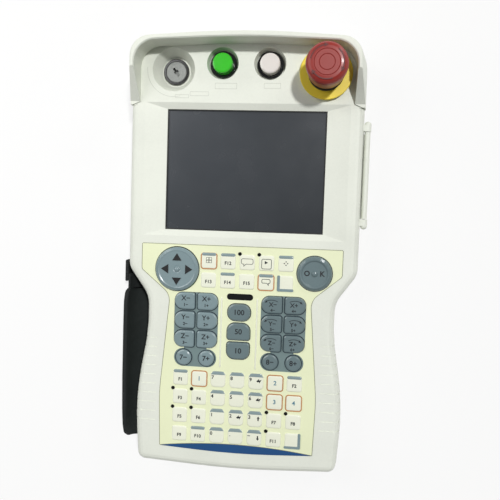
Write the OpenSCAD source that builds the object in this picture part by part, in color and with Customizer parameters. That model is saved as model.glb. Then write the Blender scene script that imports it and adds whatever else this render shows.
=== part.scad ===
// Hand-held teach pendant, lying on its back.
// Origin: centre of the flat rear face. +Z points out of the front, +Y towards the guarded end.
// Every outline is a ring of corners [x, y, radius], rounded by corner_points().

/* [Housing] */
// Width across the head
body_w = 169; // [167:1:174]
// Overall length
body_l = 314.5; // [311:0.5:322]
// Height of the front panel above the rear face
panel_z = 30; // [28:0.5:33]
// Height where the front and rear cases meet
parting_z = 19; // [18.5:0.5:20]
// Height of the underside of the grip wings
wing_z = 6; // [5.5:0.25:6.5]
// Width at the narrow waist
waist_w = 138.4; // [136:0.5:146]
// Width across the grips
grip_w = 155.6; // [152:0.5:158]
// Wall of both cases
wall = 3; // [2.4:0.1:3.4]
// Thickness of the front panel
panel_t = 3.2; // [3:0.1:3.6]
// Rounding of the front edges
edge_r = 5; // [3:0.5:5.5]
// Width of the thick upper part of the back
back_w = 152; // [146:1:156]
// Width of the thick lower part of the back
spine_w = 100; // [94:1:104]
// Distance from the lower end to the end of the thick back
spine_end = 7; // [5:0.5:9]

/* [Guard] */
// Height of the guard's rim above the rear face
guard_z = 50; // [46:0.5:56]
// Inner width between the guard's arms
guard_inner_w = 153.4; // [152:0.2:155]
// Thickness of the guard's end wall
guard_wall = 3.7; // [3:0.1:3.8]
// Length of each arm, from the upper end of the body
guard_arm = 45; // [43:0.5:48]
// Length of the full-height part, from the upper end of the body
guard_full = 23.8; // [20:0.5:30]
// How far the guard stands out past the body
guard_proud = 0.6; // [0.3:0.1:1]
// How far the guard's arms lean in from foot to rim
guard_lean = 5.2; // [2:0.1:5.6]

/* [Grip ribs] */
// Grooves on each grip
rib_count = 10; // [4:1:11]
// Distance from groove to groove
rib_pitch = 6.9; // [6:0.1:7]
// Width of a groove
rib_w = 0.9; // [0.6:0.1:1.4]
// Depth of a groove
rib_depth = 0.5; // [0.3:0.05:0.8]
// Lower end of the body to the middle groove
ribs_from_end = 66.5; // [62:0.5:70]

/* [Screen] */
// Width of the window
screen_w = 115; // [112:0.5:117]
// Height of the window
screen_h = 87; // [85:0.5:88]
// Lower end of the body to the window's centre
screen_from_end = 221.2; // [220:0.2:222.4]
// Depth of the sloping frame round the window
frame_depth = 2; // [1.6:0.1:2.2]
// Width of the sloping frame beside the window
frame_side = 16.2; // [12:0.2:17]
// Width of the sloping frame above and below the window
frame_end = 4.6; // [3:0.1:4.8]
// Margin that the touch panel hides behind the window, each side
glass_margin = 3; // [2:0.1:3.5]
// Thickness of the touch panel
glass_t = 1.1; // [0.8:0.1:1.4]
// Thickness of the screen gasket
screen_gasket_t = 0.6; // [0.4:0.05:0.8]
// Width of gasket left in view inside the window
gasket_show = 0.8; // [0.3:0.1:1.2]
// Thickness of the display module
lcd_t = 6.7; // [6:0.1:7]
// Margin of the display module past the window, each side
lcd_margin = 6.8; // [6:0.1:7]
// Sheet thickness of the display bracket
bracket_t = 1; // [0.8:0.1:1.2]

/* [Keypad film] */
// Thickness of the film
film_t = 0.4; // [0.3:0.05:0.6]
// Width of the film beside the screen end
film_top_w = 146.4; // [144:0.4:148]
// Width of the film at the waist
film_waist_w = 103.2; // [102:0.4:106]
// Width of the film at the grips
film_grip_w = 116; // [114:0.5:118]
// Lower end of the body to the film's lower end
film_from_end = 13.35; // [12.5:0.1:14.5]
// Lower end of the body to the film's upper edge
film_top_from_end = 167.25; // [166:0.25:168]
// Gap between the film and the edge of its recess
film_gap = 0.15; // [0.1:0.05:0.3]
// Greatest height of the band under the lower keys
band_h = 7; // [5:0.2:7.2]
// Distance from key to key
key_pitch = 14; // [13.6:0.1:14.2]
// Side of a square key blister
key_size = 11.6; // [10:0.1:12.6]
// Height of a blister
key_rise = 0.5; // [0.3:0.05:0.8]
// Corner radius of a blister
key_r = 2; // [1:0.1:3]
// Lower end of the body to the first row of the lower block
keys_from_end = 68.5; // [68:0.1:69.5]
// First row of the lower block to the first row of the upper block
upper_block_y = 87.3; // [86.5:0.1:87.8]
// Centre of the upper block, to the right of the middle
upper_block_x = 4.8; // [3:0.1:6]
// Width of the two ridges beside the speed keys
ridge_w = 1.2; // [0.8:0.1:1.6]
// Height of the two ridges
ridge_rise = 0.45; // [0.3:0.05:0.8]
// Distance between the two ridges
ridge_gap = 26; // [24:0.2:28]
// Length of the two ridges
ridge_l = 52; // [40:1:56]

/* [Jog and speed keys] */
// Width of a jog key
jog_w = 15; // [14.2:0.1:15.2]
// Height of a jog key
jog_h = 12.4; // [11.6:0.1:12.6]
// Large corner radius of a jog key
jog_r = 5.8; // [4:0.1:6]
// Diameter of a round jog key
jog_round_d = 11.6; // [10:0.1:12.4]
// Distance between the two columns of jog keys
jog_column = 16.9; // [16.6:0.1:17.4]
// Centre of the left jog block, to the left of the middle
jog_left_x = 31.65; // [31.2:0.05:32.4]
// Centre of the right jog block, to the right of the middle
jog_right_x = 32.15; // [31.6:0.05:32.6]
// First row of the lower block to the first row of jog keys
jog_y = 57.4; // [57:0.1:57.8]
// Margin of the window in the film round the jog keys
jog_margin = 0.35; // [0.3:0.05:0.6]
// Margin of the jog plate hidden under the film
plate_margin = 2.4; // [1.8:0.1:3]
// Thickness of the jog plate
plate_t = 1.8; // [1.4:0.1:2]
// Width of the ledge that carries the jog plate
plate_ledge = 1.2; // [0.8:0.1:1.6]
// Side clearance of a key in its hole
key_gap = 0.25; // [0.15:0.05:0.3]
// How far a key's flange reaches past its hole
key_flange = 0.35; // [0.3:0.05:0.45]
// Thickness of a key's flange
flange_t = 0.8; // [0.6:0.05:1]
// Height of the key tops above the panel
key_top = 1.6; // [1:0.1:2.4]
// Travel of a key
key_travel = 0.8; // [0.5:0.05:0.9]
// Width of a speed key
speed_w = 16.7; // [15:0.1:17.5]
// Height of a speed key
speed_h = 12.4; // [11.6:0.1:12.4]
// Distance between speed keys
speed_pitch = 14.1; // [14:0.1:14.4]
// First row of the lower block to the first speed key
speed_y = 50.6; // [50:0.1:51]

/* [Cursor and select keys] */
// Diameter of the cursor key
cursor_d = 32; // [28:0.5:33]
// Centre of the cursor key, to the left of the middle
cursor_x = 46.6; // [46:0.1:48]
// First row of the lower block to the cursor key
cursor_y = 80.5; // [80:0.1:81]
// Height of the cursor key above the panel
cursor_rise = 2.4; // [1.6:0.1:3]
// Gap round the cursor key, for its tilt
cursor_gap = 0.6; // [0.5:0.05:0.8]
// Diameter of the ball that the cursor key rocks on
ball_d = 4.4; // [4:0.1:4.8]
// Diameter of the select key
select_d = 25; // [23:0.5:26]
// Centre of the select key, to the right of the middle
select_x = 53.4; // [52:0.1:54]
// First row of the lower block to the select key
select_y = 81.2; // [80.5:0.1:82]
// Diameter of the select key's dish
dish_d = 19.6; // [17:0.2:20]
// Height of the select key above the panel
select_rise = 2.6; // [1.8:0.1:3.2]

/* [Mode switch] */
// Distance of the mode switch from the middle
mode_x = 52.8; // [50:0.2:54]
// Upper end of the body to the mode switch
mode_from_top = 22; // [21.6:0.2:24]
// Diameter of the recess at the panel
mode_recess_d = 31; // [29:0.5:32]
// Depth of the recess
mode_depth = 10; // [8:0.2:11]
// Diameter of the switch's collar
mode_collar_d = 19; // [18:0.2:20]
// Diameter of the lock's face
lock_d = 15.3; // [14:0.1:15.6]
// Width of the key slot
slot_w = 1.6; // [1:0.1:2.2]

/* [Push buttons] */
// Distance of the two push buttons
button_gap = 33.8; // [32:0.2:35]
// Upper end of the body to the push buttons
button_from_top = 17.4; // [17:0.1:18]
// Diameter of a recess at the panel
button_recess_d = 22.8; // [21.6:0.1:23.4]
// Depth of a recess
button_depth = 6; // [5:0.2:7]
// Diameter of a button's collar
collar_d = 19.5; // [18.8:0.1:20]
// Diameter of a lens
lens_d = 14.3; // [13.4:0.1:14.8]
// Height of a lens above the panel
lens_rise = 2.5; // [1.5:0.1:3.5]
// Travel of a push button
button_travel = 3; // [2:0.1:3.4]
// Running clearance of round moving parts
run_gap = 0.08; // [0.05:0.01:0.1]

/* [Emergency stop] */
// Gap between the yellow plate and the guard's arm
estop_gap = 2.4; // [2.1:0.1:4.2]
// Upper end of the body to the emergency stop
estop_from_top = 24.2; // [24:0.1:26]
// Diameter of the yellow plate
plate_d = 36.8; // [34:0.2:37]
// Thickness of the yellow plate
yellow_t = 1.5; // [1:0.1:2]
// Height of the boss under the yellow plate
boss_rise = 2.5; // [1.5:0.1:3]
// Diameter of the boss under the yellow plate
boss_d = 33; // [30:0.5:35]
// Diameter of the head
head_d = 28.2; // [26:0.2:30]
// Height of the head from its skirt to its top
head_h = 21; // [17:0.5:23]
// Height of the head's skirt above the yellow plate
head_lift = 10; // [9:0.5:12]
// Diameter of the emergency stop's barrel
barrel_d = 22; // [20:0.5:23]
// Diameter of the sliding shaft
shaft_d = 8; // [6:0.2:10]
// Travel of the head
estop_travel = 4; // [3:0.25:5]
// Side of the contact block behind the panel
block_side = 29; // [26:0.5:30]

/* [Card door] */
// Length over both hinge ears
ears_l = 76.6; // [74:0.2:80]
// Length of one ear
ear_l = 7.2; // [6:0.2:8]
// Radius of an ear
ear_r = 2.5; // [2.2:0.1:2.8]
// Lower end of the body to the middle of the door
door_from_end = 220.7; // [218:0.5:224]
// Diameter of the hinge pin
door_pin_d = 1.8; // [1.5:0.1:2]
// Radius of the door's knuckle
knuckle_r = 2.1; // [1.9:0.05:2.2]
// Height of the hinge pin
door_pin_z = 22.4; // [22:0.1:23]
// Thickness of the door
door_t = 2; // [1.5:0.1:2.2]
// Height of the door's free edge
door_bottom_z = 5.6; // [4:0.2:7]
// Width of the card slot
card_w = 43.4; // [43:0.2:46]
// Height of the card slot
card_h = 5; // [4.4:0.1:5.4]
// Height of the slot's middle
card_z = 12.5; // [12:0.1:13]

/* [Enable lever] */
// Length of the lever
lever_l = 82; // [76:1:86]
// Width of the lever
lever_w = 11; // [10:0.2:11.4]
// Height that the lever stands out of the wing
lever_drop = 4.4; // [4:0.1:4.6]
// Depth of the lever's pocket
lever_pocket = 4.2; // [4:0.1:4.6]
// Diameter of the lever's pin
lever_pin_d = 2; // [1.8:0.1:2.4]
// Lower end of the body to the lever's middle
lever_from_end = 85; // [82:0.5:86]

/* [Hand strap] */
// How far the strap's sleeve curves away from the grip
strap_r = 21.5; // [20:0.5:23]
// Thickness of the padded sleeve
strap_t = 3.6; // [3:0.1:3.8]
// Thickness of the webbing
webbing_t = 1.8; // [1.5:0.1:2]
// Thickness of the anchor plates
anchor_t = 1.8; // [1.5:0.1:2]
// Lower end of the body to the lower anchor
lower_anchor_from_end = 19; // [18:0.5:21]
// Lower end of the body to the upper anchor
upper_anchor_from_end = 148; // [147:0.5:149]

/* [Boards and fasteners] */
// Thickness of the circuit boards
board_t = 1.6; // [1.2:0.1:2]
// Height of the main board's upper face
main_board_z = 9.6; // [9.2:0.1:10]
// Diameter of the case screws
screw_d = 3; // [2.6:0.1:3.4]
// Diameter of the small screws on the boards
small_screw_d = 2.5; // [2:0.1:2.6]
// Diameter of the cable inlet's bore
inlet_d = 8.2; // [6.5:0.1:8.6]
// Outer diameter of the inlet's sleeve
inlet_sleeve_d = 11.4; // [10.8:0.1:11.6]
// Clearance of a screw in its bore
screw_gap = 0.05; // [0.02:0.01:0.1]
// Thickness of the seal between the cases
seal_t = 1.2; // [0.8:0.1:1.4]

/* [Hidden] */

end_y = -body_l / 2;
top_y = body_l / 2;
row_y = end_y + keys_from_end;
under_panel = panel_z - panel_t;
tiny = 0.01;
around = 400;
cream = [0.93, 0.94, 0.84];
white = [0.9, 0.91, 0.87];
slate = [0.56, 0.63, 0.68];
black = [0.09, 0.09, 0.1];

// ---- Outlines and lofts ----

function unit(v) = v / norm(v);
function joined(lists) = [for (list = lists) for (item = list) item];

// Points of one rounded corner, moved inwards by inset. step is the angle of one facet.
function corner_points(a, b, c, inset, step) = let(
    to_a = unit([a.x - b.x, a.y - b.y]),
    to_c = unit([c.x - b.x, c.y - b.y]),
    half = acos(to_a * to_c) / 2,
    turn = cross(to_a, to_c) < 0 ? 1 : -1,
    centre = [b.x, b.y] + unit(to_a + to_c) * b[2] / sin(half),
    start = [b.x, b.y] + to_a * b[2] / tan(half) - centre,
    first = atan2(start.y, start.x),
    sweep = turn * (180 - 2 * half),
    n = max(b[2] > 100 ? 4 : 1, ceil(abs(sweep) / step)))
  [for (i = [0 : n])
    let(angle = first + sweep * i / n)
    centre + (b[2] - turn * inset) * [cos(angle), sin(angle)]];

function outline(corners, inset = 0, step = 10) = let(n = len(corners))
  joined([for (i = [0 : n - 1])
    corner_points(corners[(i + n - 1) % n], corners[i], corners[(i + 1) % n], inset, step)]);

// Corners of the right half, from low to high, with their mirror images
function mirrored(right) = concat(right,
  [for (i = [len(right) - 1 : -1 : 0]) if (right[i].x > tiny) [-right[i].x, right[i].y, right[i][2]]]);

function box_corners(w, h, r) =
  [[w / 2, -h / 2, r], [w / 2, h / 2, r], [-w / 2, h / 2, r], [-w / 2, -h / 2, r]];

module prism(corners, z0, z1, inset = 0, step = 10) {
  translate([0, 0, z0]) linear_extrude(z1 - z0) polygon(outline(corners, inset, step));
}

// Solid through the outline at several heights, cut flat at both ends.
// Each level is [inset, z] or [inset, z, shift along y].
module loft(corners, levels, step = 10) {
  low = levels[0];
  high = levels[len(levels) - 1];
  shift = function (level) len(level) > 2 ? level[2] : 0;
  all_levels = concat(
    [[low[0], low[1] - 1, shift(low)]], levels, [[high[0], high[1] + 1, shift(high)]]);
  rings = [for (level = all_levels)
    [for (p = outline(corners, level[0], step)) [p.x, p.y + shift(level), level[1]]]];
  n = len(rings[0]);
  last = len(rings) - 1;
  sides = [for (i = [0 : last - 1]) for (j = [0 : n - 1])
    [i * n + j, (i + 1) * n + j, (i + 1) * n + (j + 1) % n, i * n + (j + 1) % n]];
  intersection() {
    polyhedron(joined(rings), concat(sides, [[for (j = [0 : n - 1]) j]],
      [[for (j = [n - 1 : -1 : 0]) last * n + j]]));
    slab(-around, around, -around, around, low[1], high[1]);
  }
}

// Levels of a quarter-round edge that ends at height z, up (1) or down (-1)
function round_edge(r, z, inset, way, n = 4) =
  [for (i = [0 : n]) [inset + r * (1 - cos(90 * i / n)), z - way * r * (1 - sin(90 * i / n))]];

module at(x, y, z = 0) translate([x, y, z]) children();

module rod(d, z0, z1) {
  translate([0, 0, z0]) cylinder(d = d, h = z1 - z0, $fn = 64);
}

// A round part from its half section [radius, height]
module turned(points) {
  rotate_extrude($fn = 96) polygon(points);
}

// A slab that spans the given box
module slab(x0, x1, y0, y1, z0, z1) {
  translate([x0, y0, z0]) cube([x1 - x0, y1 - y0, z1 - z0]);
}

// ---- Outline of the body ----

// The ends are flat arcs, so their corner points lie a little past the real ends
crown_drop = 4.4;
crown_r = 600;
function crown_past(drop, half_w) = crown_r * (1 / cos(atan(drop / half_w)) - 1);
head_r = 19;
foot_drop = 3.2;
body_corners = mirrored([
  [0, end_y - crown_past(foot_drop, grip_w / 2), crown_r],
  [grip_w / 2 - 3.2, end_y + foot_drop, 7],
  [grip_w / 2, end_y + 52, 200],
  [waist_w / 2, end_y + 102, 80],
  [waist_w / 2, end_y + 127.5, 20],
  [body_w / 2, end_y + 127.5 + (body_w - waist_w) * 0.705, 14],
  [body_w / 2, top_y - crown_drop, head_r],
  [0, top_y + crown_past(crown_drop, body_w / 2), crown_r]]);

front_levels = concat([[0, parting_z], [0.8, panel_z - edge_r]],
  [for (level = round_edge(edge_r, panel_z, 0.8, 1)) if (level[0] > 0.8) level]);
rear_levels = concat(
  [for (i = [4 : -1 : 1]) [0.5 + edge_r * (1 - cos(22.5 * i)), wing_z + edge_r * (1 - sin(22.5 * i))]],
  [[0.5, wing_z + edge_r], [0, parting_z]]);

// The part of the head that the guard covers, with the pointed ends of its arms.
// shift moves its lower border down.
arm_point = 2.2;
inner_drop = 2.8;
module head_zone(shift) {
  low = top_y - guard_arm - shift;
  inner = guard_inner_w / 2;
  mid = body_w / 2 - 2.6;
  translate([0, 0, -1]) linear_extrude(guard_z + 2) polygon([
    [-around, low], [-mid, low - arm_point], [-inner, low], [inner, low], [mid, low - arm_point],
    [around, low], [around, around], [-around, around]]);
}

neck_inset = wall;
neck_gap = 0.1;
boss_gap = 0.1;
guard_gap = 0.4;

// ---- Places of everything that passes through the panel ----

screen_y = end_y + screen_from_end;
screen_x = 0.55;
mode_at = [-mode_x, top_y - mode_from_top];
start_at = [-button_gap / 2 - 0.5, top_y - button_from_top];
hold_at = [button_gap / 2 - 0.5, top_y - button_from_top];
estop_at = [guard_inner_w / 2 - estop_gap - plate_d / 2, top_y - estop_from_top];
cursor_at = [-cursor_x, row_y + cursor_y];
select_at = [select_x, row_y + select_y];
jog_block_x = [-jog_left_x, jog_right_x];

function jog_at(block, column, row) =
  [jog_block_x[block] + (column - 0.5) * jog_column, row_y + jog_y - row * key_pitch];
function speed_at(i) = [0, row_y + speed_y - i * speed_pitch];

lower_keys = [for (row = [0 : 3]) for (column = [-3 : 3]) [column * key_pitch, row_y - row * key_pitch]];
upper_keys = [for (row = [0 : 1]) for (column = [-2 : 2])
  [upper_block_x + column * key_pitch, row_y + upper_block_y - row * key_pitch]];

head_screw_x = body_w / 2 - 13.5;
head_screw_from_top = 49.5;
head_screw_from_end = 165.2;
foot_screw_x = spine_w / 2 - 7;
foot_screw_y = end_y + spine_end + 5.8;
guard_screw_from_top = 10.6;
screw_points = concat(
  [for (y = [top_y - head_screw_from_top, end_y + head_screw_from_end]) for (side = [1, -1])
    [side * head_screw_x, y]],
  [[foot_screw_x, foot_screw_y], [-foot_screw_x, foot_screw_y], [0, top_y - guard_screw_from_top]]);
bracket_screw_x = 30;
bracket_screw_past = 3.8;
bracket_screws = [for (side_x = [-1, 1]) for (side = [-1, 1])
  [side_x * bracket_screw_x, screen_y + side * (screen_h / 2 + lcd_margin + bracket_screw_past)]];

// The keypad board reaches past the keys that it carries. Its head carries the cursor and select keys.
keypad_edge = 8;
keypad_half_w = 3 * key_pitch + keypad_edge;
keypad_low_y = row_y - 3 * key_pitch - keypad_edge - 0.5;
keypad_neck_y = row_y + 61.5;
keypad_high_y = row_y + upper_block_y + 5.7;
keypad_head_x = select_x + 8.6;
keypad_screw_x = keypad_half_w - keypad_edge;
keypad_screws = concat(
  [for (side = [-1, 1]) for (y = [keypad_low_y + 5, keypad_low_y + 51]) [side * keypad_screw_x, y]],
  [for (side = [-1, 1]) [side * 10, keypad_high_y - 4]]);
main_board_w = 100;
main_board_l = 85;
main_board_screws = [for (side = [-1, 1]) for (y = [2.5 - main_board_l / 2, main_board_l / 2 - 5.5])
  [side * (main_board_w / 2 - 4), screen_y + y]];

// ---- Film, band and jog plates ----

film_low_y = end_y + film_from_end;
film_top_y = end_y + film_top_from_end;
film_corners = mirrored([
  [0, film_low_y, 560],
  [film_grip_w / 2 - 1.2, film_low_y + 2.9, 1],
  [film_grip_w / 2, row_y - 11.5, 150],
  [film_waist_w / 2, row_y + 61.4, 11],
  [film_top_w / 2, row_y + 61.4 + (film_top_w - film_waist_w) * 0.419, 3],
  [film_top_w / 2, film_top_y, 1]]);

// The band's upper edge is an arc through its middle height and the film's lower corners
band_rise = band_h - 2.9;
band_half = film_grip_w / 2 - 1.2;
band_r = (band_half * band_half + band_rise * band_rise) / (2 * band_rise);
module band_disc(gap) {
  at(0, film_low_y + band_h - band_r, panel_z - 2) cylinder(r = band_r + gap, h = 4, $fn = 360);
}

jog_window_w = jog_column + jog_w + 2 * jog_margin;
jog_window_h = 2 * key_pitch + jog_h + 2 * jog_margin;
jog_window = box_corners(jog_window_w, jog_window_h, jog_r + jog_margin);
jog_pill = box_corners(jog_window_w - 1, jog_round_d + 1.9, (jog_round_d + 1.9) / 2 - 0.1);
jog_window_y = row_y + jog_y - key_pitch;
jog_pill_y = row_y + jog_y - 3 * key_pitch;
jog_plate_h = jog_window_h / 2 + 2 * key_pitch + jog_pill[1].y;
jog_plate_y = jog_window_y + jog_window_h / 2 - jog_plate_h / 2;

module jog_window_cut(block, z0, z1, inset) {
  at(jog_block_x[block], jog_window_y) prism(jog_window, z0, z1, inset);
  at(jog_block_x[block], jog_pill_y) prism(jog_pill, z0, z1, inset);
  at(jog_block_x[block], jog_pill_y)
    slab(-jog_column / 2, jog_column / 2, 0, key_pitch, z0, z1);
}

module jog_plate_solid(block, z0, z1, grow) {
  at(jog_block_x[block], jog_plate_y)
    prism(box_corners(jog_window_w + 2 * plate_margin, jog_plate_h + 2 * plate_margin, 3), z0, z1, -grow);
}

// Outline of a jog key: large radii on its outer side
function jog_corners(column) = let(side = column == 0 ? -1 : 1, small = 1.8) [
  [jog_w / 2, -jog_h / 2, side > 0 ? jog_r : small], [jog_w / 2, jog_h / 2, side > 0 ? jog_r : small],
  [-jog_w / 2, jog_h / 2, side < 0 ? jog_r : small], [-jog_w / 2, -jog_h / 2, side < 0 ? jog_r : small]];

// Outlines of the speed keys: an oval, a key with a round head and one with a round foot
function speed_corners(i) = let(
    head = i < 2 ? speed_h / 2 - 0.6 : 2, foot = i == 1 ? 2 : speed_h / 2 - 0.6)
  [[speed_w / 2, -speed_h / 2, foot], [speed_w / 2, speed_h / 2, head],
   [-speed_w / 2, speed_h / 2, head], [-speed_w / 2, -speed_h / 2, foot]];

film_z = panel_z - film_t;
plate_z = film_z - plate_t;
key_foot_z = under_panel - flange_t - 1;

// A key with a bevelled top. flange_z is the upper face of its flange.
module moulded_key(corners, flange_z) {
  crown = panel_z + key_top;
  loft(corners, [[0, flange_z - flange_t], [0, crown - 1], [0.3, crown - 0.35], [1.1, crown]], 15);
  prism(corners, flange_z - flange_t, flange_z, -key_gap - key_flange, 15);
  rod(5, key_foot_z, flange_z);
}

module round_key(d, flange_z) {
  crown = panel_z + key_top;
  r = d / 2;
  flange_r = r + key_gap + key_flange;
  turned([[0, key_foot_z], [2.5, key_foot_z], [2.5, flange_z - flange_t], [flange_r, flange_z - flange_t],
    [flange_r, flange_z], [r, flange_z], [r, crown - 1], [r - 0.3, crown - 0.35], [r - 1.1, crown],
    [0, crown]]);
}

module jog_key(block, column, row) {
  place = jog_at(block, column, row);
  color(slate) at(place.x, place.y) {
    if (row < 3) moulded_key(jog_corners(column), plate_z - 0.05);
    else round_key(jog_round_d, plate_z - 0.05);
  }
}

module speed_key(i) {
  place = speed_at(i);
  color(slate) at(place.x, place.y) moulded_key(speed_corners(i), under_panel - 0.05);
}

module keypad_film() {
  color(cream) difference() {
    union() {
      difference() {
        prism(film_corners, film_z, panel_z);
        band_disc(0.05);
      }
      for (place = concat(lower_keys, upper_keys)) at(place.x, place.y)
        prism(box_corners(key_size, key_size, key_r), panel_z - tiny, panel_z + key_rise, 0, 30);
      for (side = [-1, 1]) at(side * ridge_gap / 2, row_y + 35.2)
          prism(box_corners(ridge_w, ridge_l, ridge_w / 2 - 0.05),
            panel_z - tiny, panel_z + ridge_rise, 0, 30);
    }
    for (block = [0, 1]) jog_window_cut(block, film_z - 1, panel_z + 1, 0);
    for (i = [0 : 2]) at(speed_at(i).x, speed_at(i).y)
      prism(speed_corners(i), film_z - 1, panel_z + 1, -key_gap, 15);
    at(cursor_at.x, cursor_at.y) rod(cursor_d + 2 * cursor_gap, film_z - 1, panel_z + 1);
    at(select_at.x, select_at.y) rod(select_d + 2 * key_gap, film_z - 1, panel_z + 1);
  }
}

module trim_band() {
  color([0.12, 0.32, 0.55]) intersection() {
    prism(film_corners, film_z, panel_z);
    band_disc(0);
  }
}

module jog_plate(block) {
  color([0.44, 0.52, 0.55]) difference() {
    jog_plate_solid(block, plate_z, film_z, 0);
    for (column = [0, 1]) for (row = [0 : 2]) {
      place = jog_at(block, column, row);
      at(place.x, place.y) prism(jog_corners(column), plate_z - 1, film_z + 1, -key_gap, 15);
    }
    for (column = [0, 1]) {
      place = jog_at(block, column, 3);
      at(place.x, place.y) rod(jog_round_d + 2 * key_gap, plate_z - 1, film_z + 1);
    }
    at(cursor_at.x, cursor_at.y) rod(cursor_d + 2 * cursor_gap, plate_z - 1, film_z + 1);
  }
}

// ---- Cases ----

back_corners = mirrored([
  [back_w / 2, end_y + 157, 9],
  [back_w / 2, top_y - 3.4, 12]]);
spine_corners = mirrored([
  [spine_w / 2, end_y + spine_end, 9],
  [spine_w / 2, end_y + 175, 9]]);
back_levels = [[2.4, 0], [0.7, 0.7], [0, 2.4], [0, wing_z + 3]];

boss_d_outer = screw_d + 4.6;
post_d = small_screw_d + 3.2;
glass_z = under_panel - screen_gasket_t;
lcd_z = glass_z - glass_t - lcd_t;
keypad_board_z = key_foot_z - key_travel - 0.1 - 1.5;

module front_shell() {
  difference() {
    union() {
      difference() {
        loft(body_corners, front_levels);
        head_zone(guard_gap);
      }
      intersection() {
        prism(body_corners, parting_z, panel_z, neck_inset + neck_gap);
        head_zone(guard_gap + 0.5);
      }
    }
    prism(body_corners, parting_z - 1, under_panel, wall + 2.2);
    grip_grooves();
  }
}

// Half the width of the body at a given y
side_line = [for (p = outline(body_corners)) if (p.x > waist_w / 2 - 3 && p.y < end_y + 150) [p.y, p.x]];
function half_width(y) = lookup(y, side_line);

// Each groove follows the section of the grip, rib_depth below its face, round edge and side
module grip_grooves() {
  for (i = [0 : rib_count - 1]) {
    y = end_y + ribs_from_end + (i - (rib_count - 1) / 2) * rib_pitch;
    half = half_width(y);
    inner = film_grip_w / 2 + 2.5;
    face = [for (level = front_levels) [half - level[0] - rib_depth, min(level[1], panel_z - rib_depth)]];
    for (side = [0, 1]) mirror([side, 0, 0]) translate([0, y + rib_w / 2, 0]) rotate([90, 0, 0])
      linear_extrude(rib_w) polygon(concat(
        [[half + 2, parting_z - 1], [half - rib_depth, parting_z - 1]], face,
        [[inner, panel_z - rib_depth], [inner, panel_z + 1], [half + 2, panel_z + 1]]));
  }
}

// Sloping frame round the screen window, open at the top
module screen_frame_cut() {
  w = screen_w / 2;
  h = screen_h / 2;
  low = [[-w, -h], [w, -h], [w, h], [-w, h]];
  high = [[-w - frame_side, -h - frame_end], [w + frame_side, -h - frame_end],
    [w + frame_side, h + frame_end], [-w - frame_side, h + frame_end]];
  points = concat([for (p = low) [p.x, p.y, -frame_depth]], [for (p = high) [p.x, p.y, 0]],
    [for (p = high) [p.x, p.y, 1]]);
  sides = [for (i = [0, 1]) for (j = [0 : 3])
    [i * 4 + j, (i + 1) * 4 + j, (i + 1) * 4 + (j + 1) % 4, i * 4 + (j + 1) % 4]];
  at(screen_x, screen_y, panel_z) polyhedron(points, concat(sides, [[0, 1, 2, 3], [11, 10, 9, 8]]));
}

// Cup behind the panel round a recessed control, and the recess itself
module cup(d, floor_d, depth) {
  translate([0, 0, panel_z - depth - 2.5])
    cylinder(d1 = floor_d + 3, d2 = d + 3, h = under_panel + tiny - panel_z + depth + 2.5, $fn = 96);
}
module cup_cut(d, floor_d, hole_d, depth) {
  translate([0, 0, panel_z - depth]) cylinder(d1 = floor_d, d2 = d, h = depth + tiny, $fn = 96);
  rod(d, panel_z, panel_z + 1);
  rod(hole_d, panel_z - depth - 5, panel_z);
}

mode_barrel_d = lock_d + 3.4;
mode_floor_d = mode_collar_d + 2;
button_barrel_d = lens_d + 3;
button_floor_d = collar_d + 1;
boss_top_z = panel_z + boss_rise;
yellow_z = boss_top_z + yellow_t;
pin_x = body_w / 2 + 2.4;
door_y = end_y + door_from_end;
door_half = ears_l / 2 - ear_l - 0.3;

module ear(side) {
  far = side * (ears_l / 2 - ear_r);
  near = side * (ears_l / 2 - ear_l);
  at(0, door_y) {
    translate([pin_x, min(far, near), door_pin_z]) rotate([-90, 0, 0])
      cylinder(r = ear_r, h = abs(far - near), $fn = 48);
    translate([pin_x, far, door_pin_z]) sphere(r = ear_r, $fn = 48);
    slab(body_w / 2 - 3, pin_x, min(far, near), max(far, near), door_pin_z - ear_r, door_pin_z + ear_r);
  }
}

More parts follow.
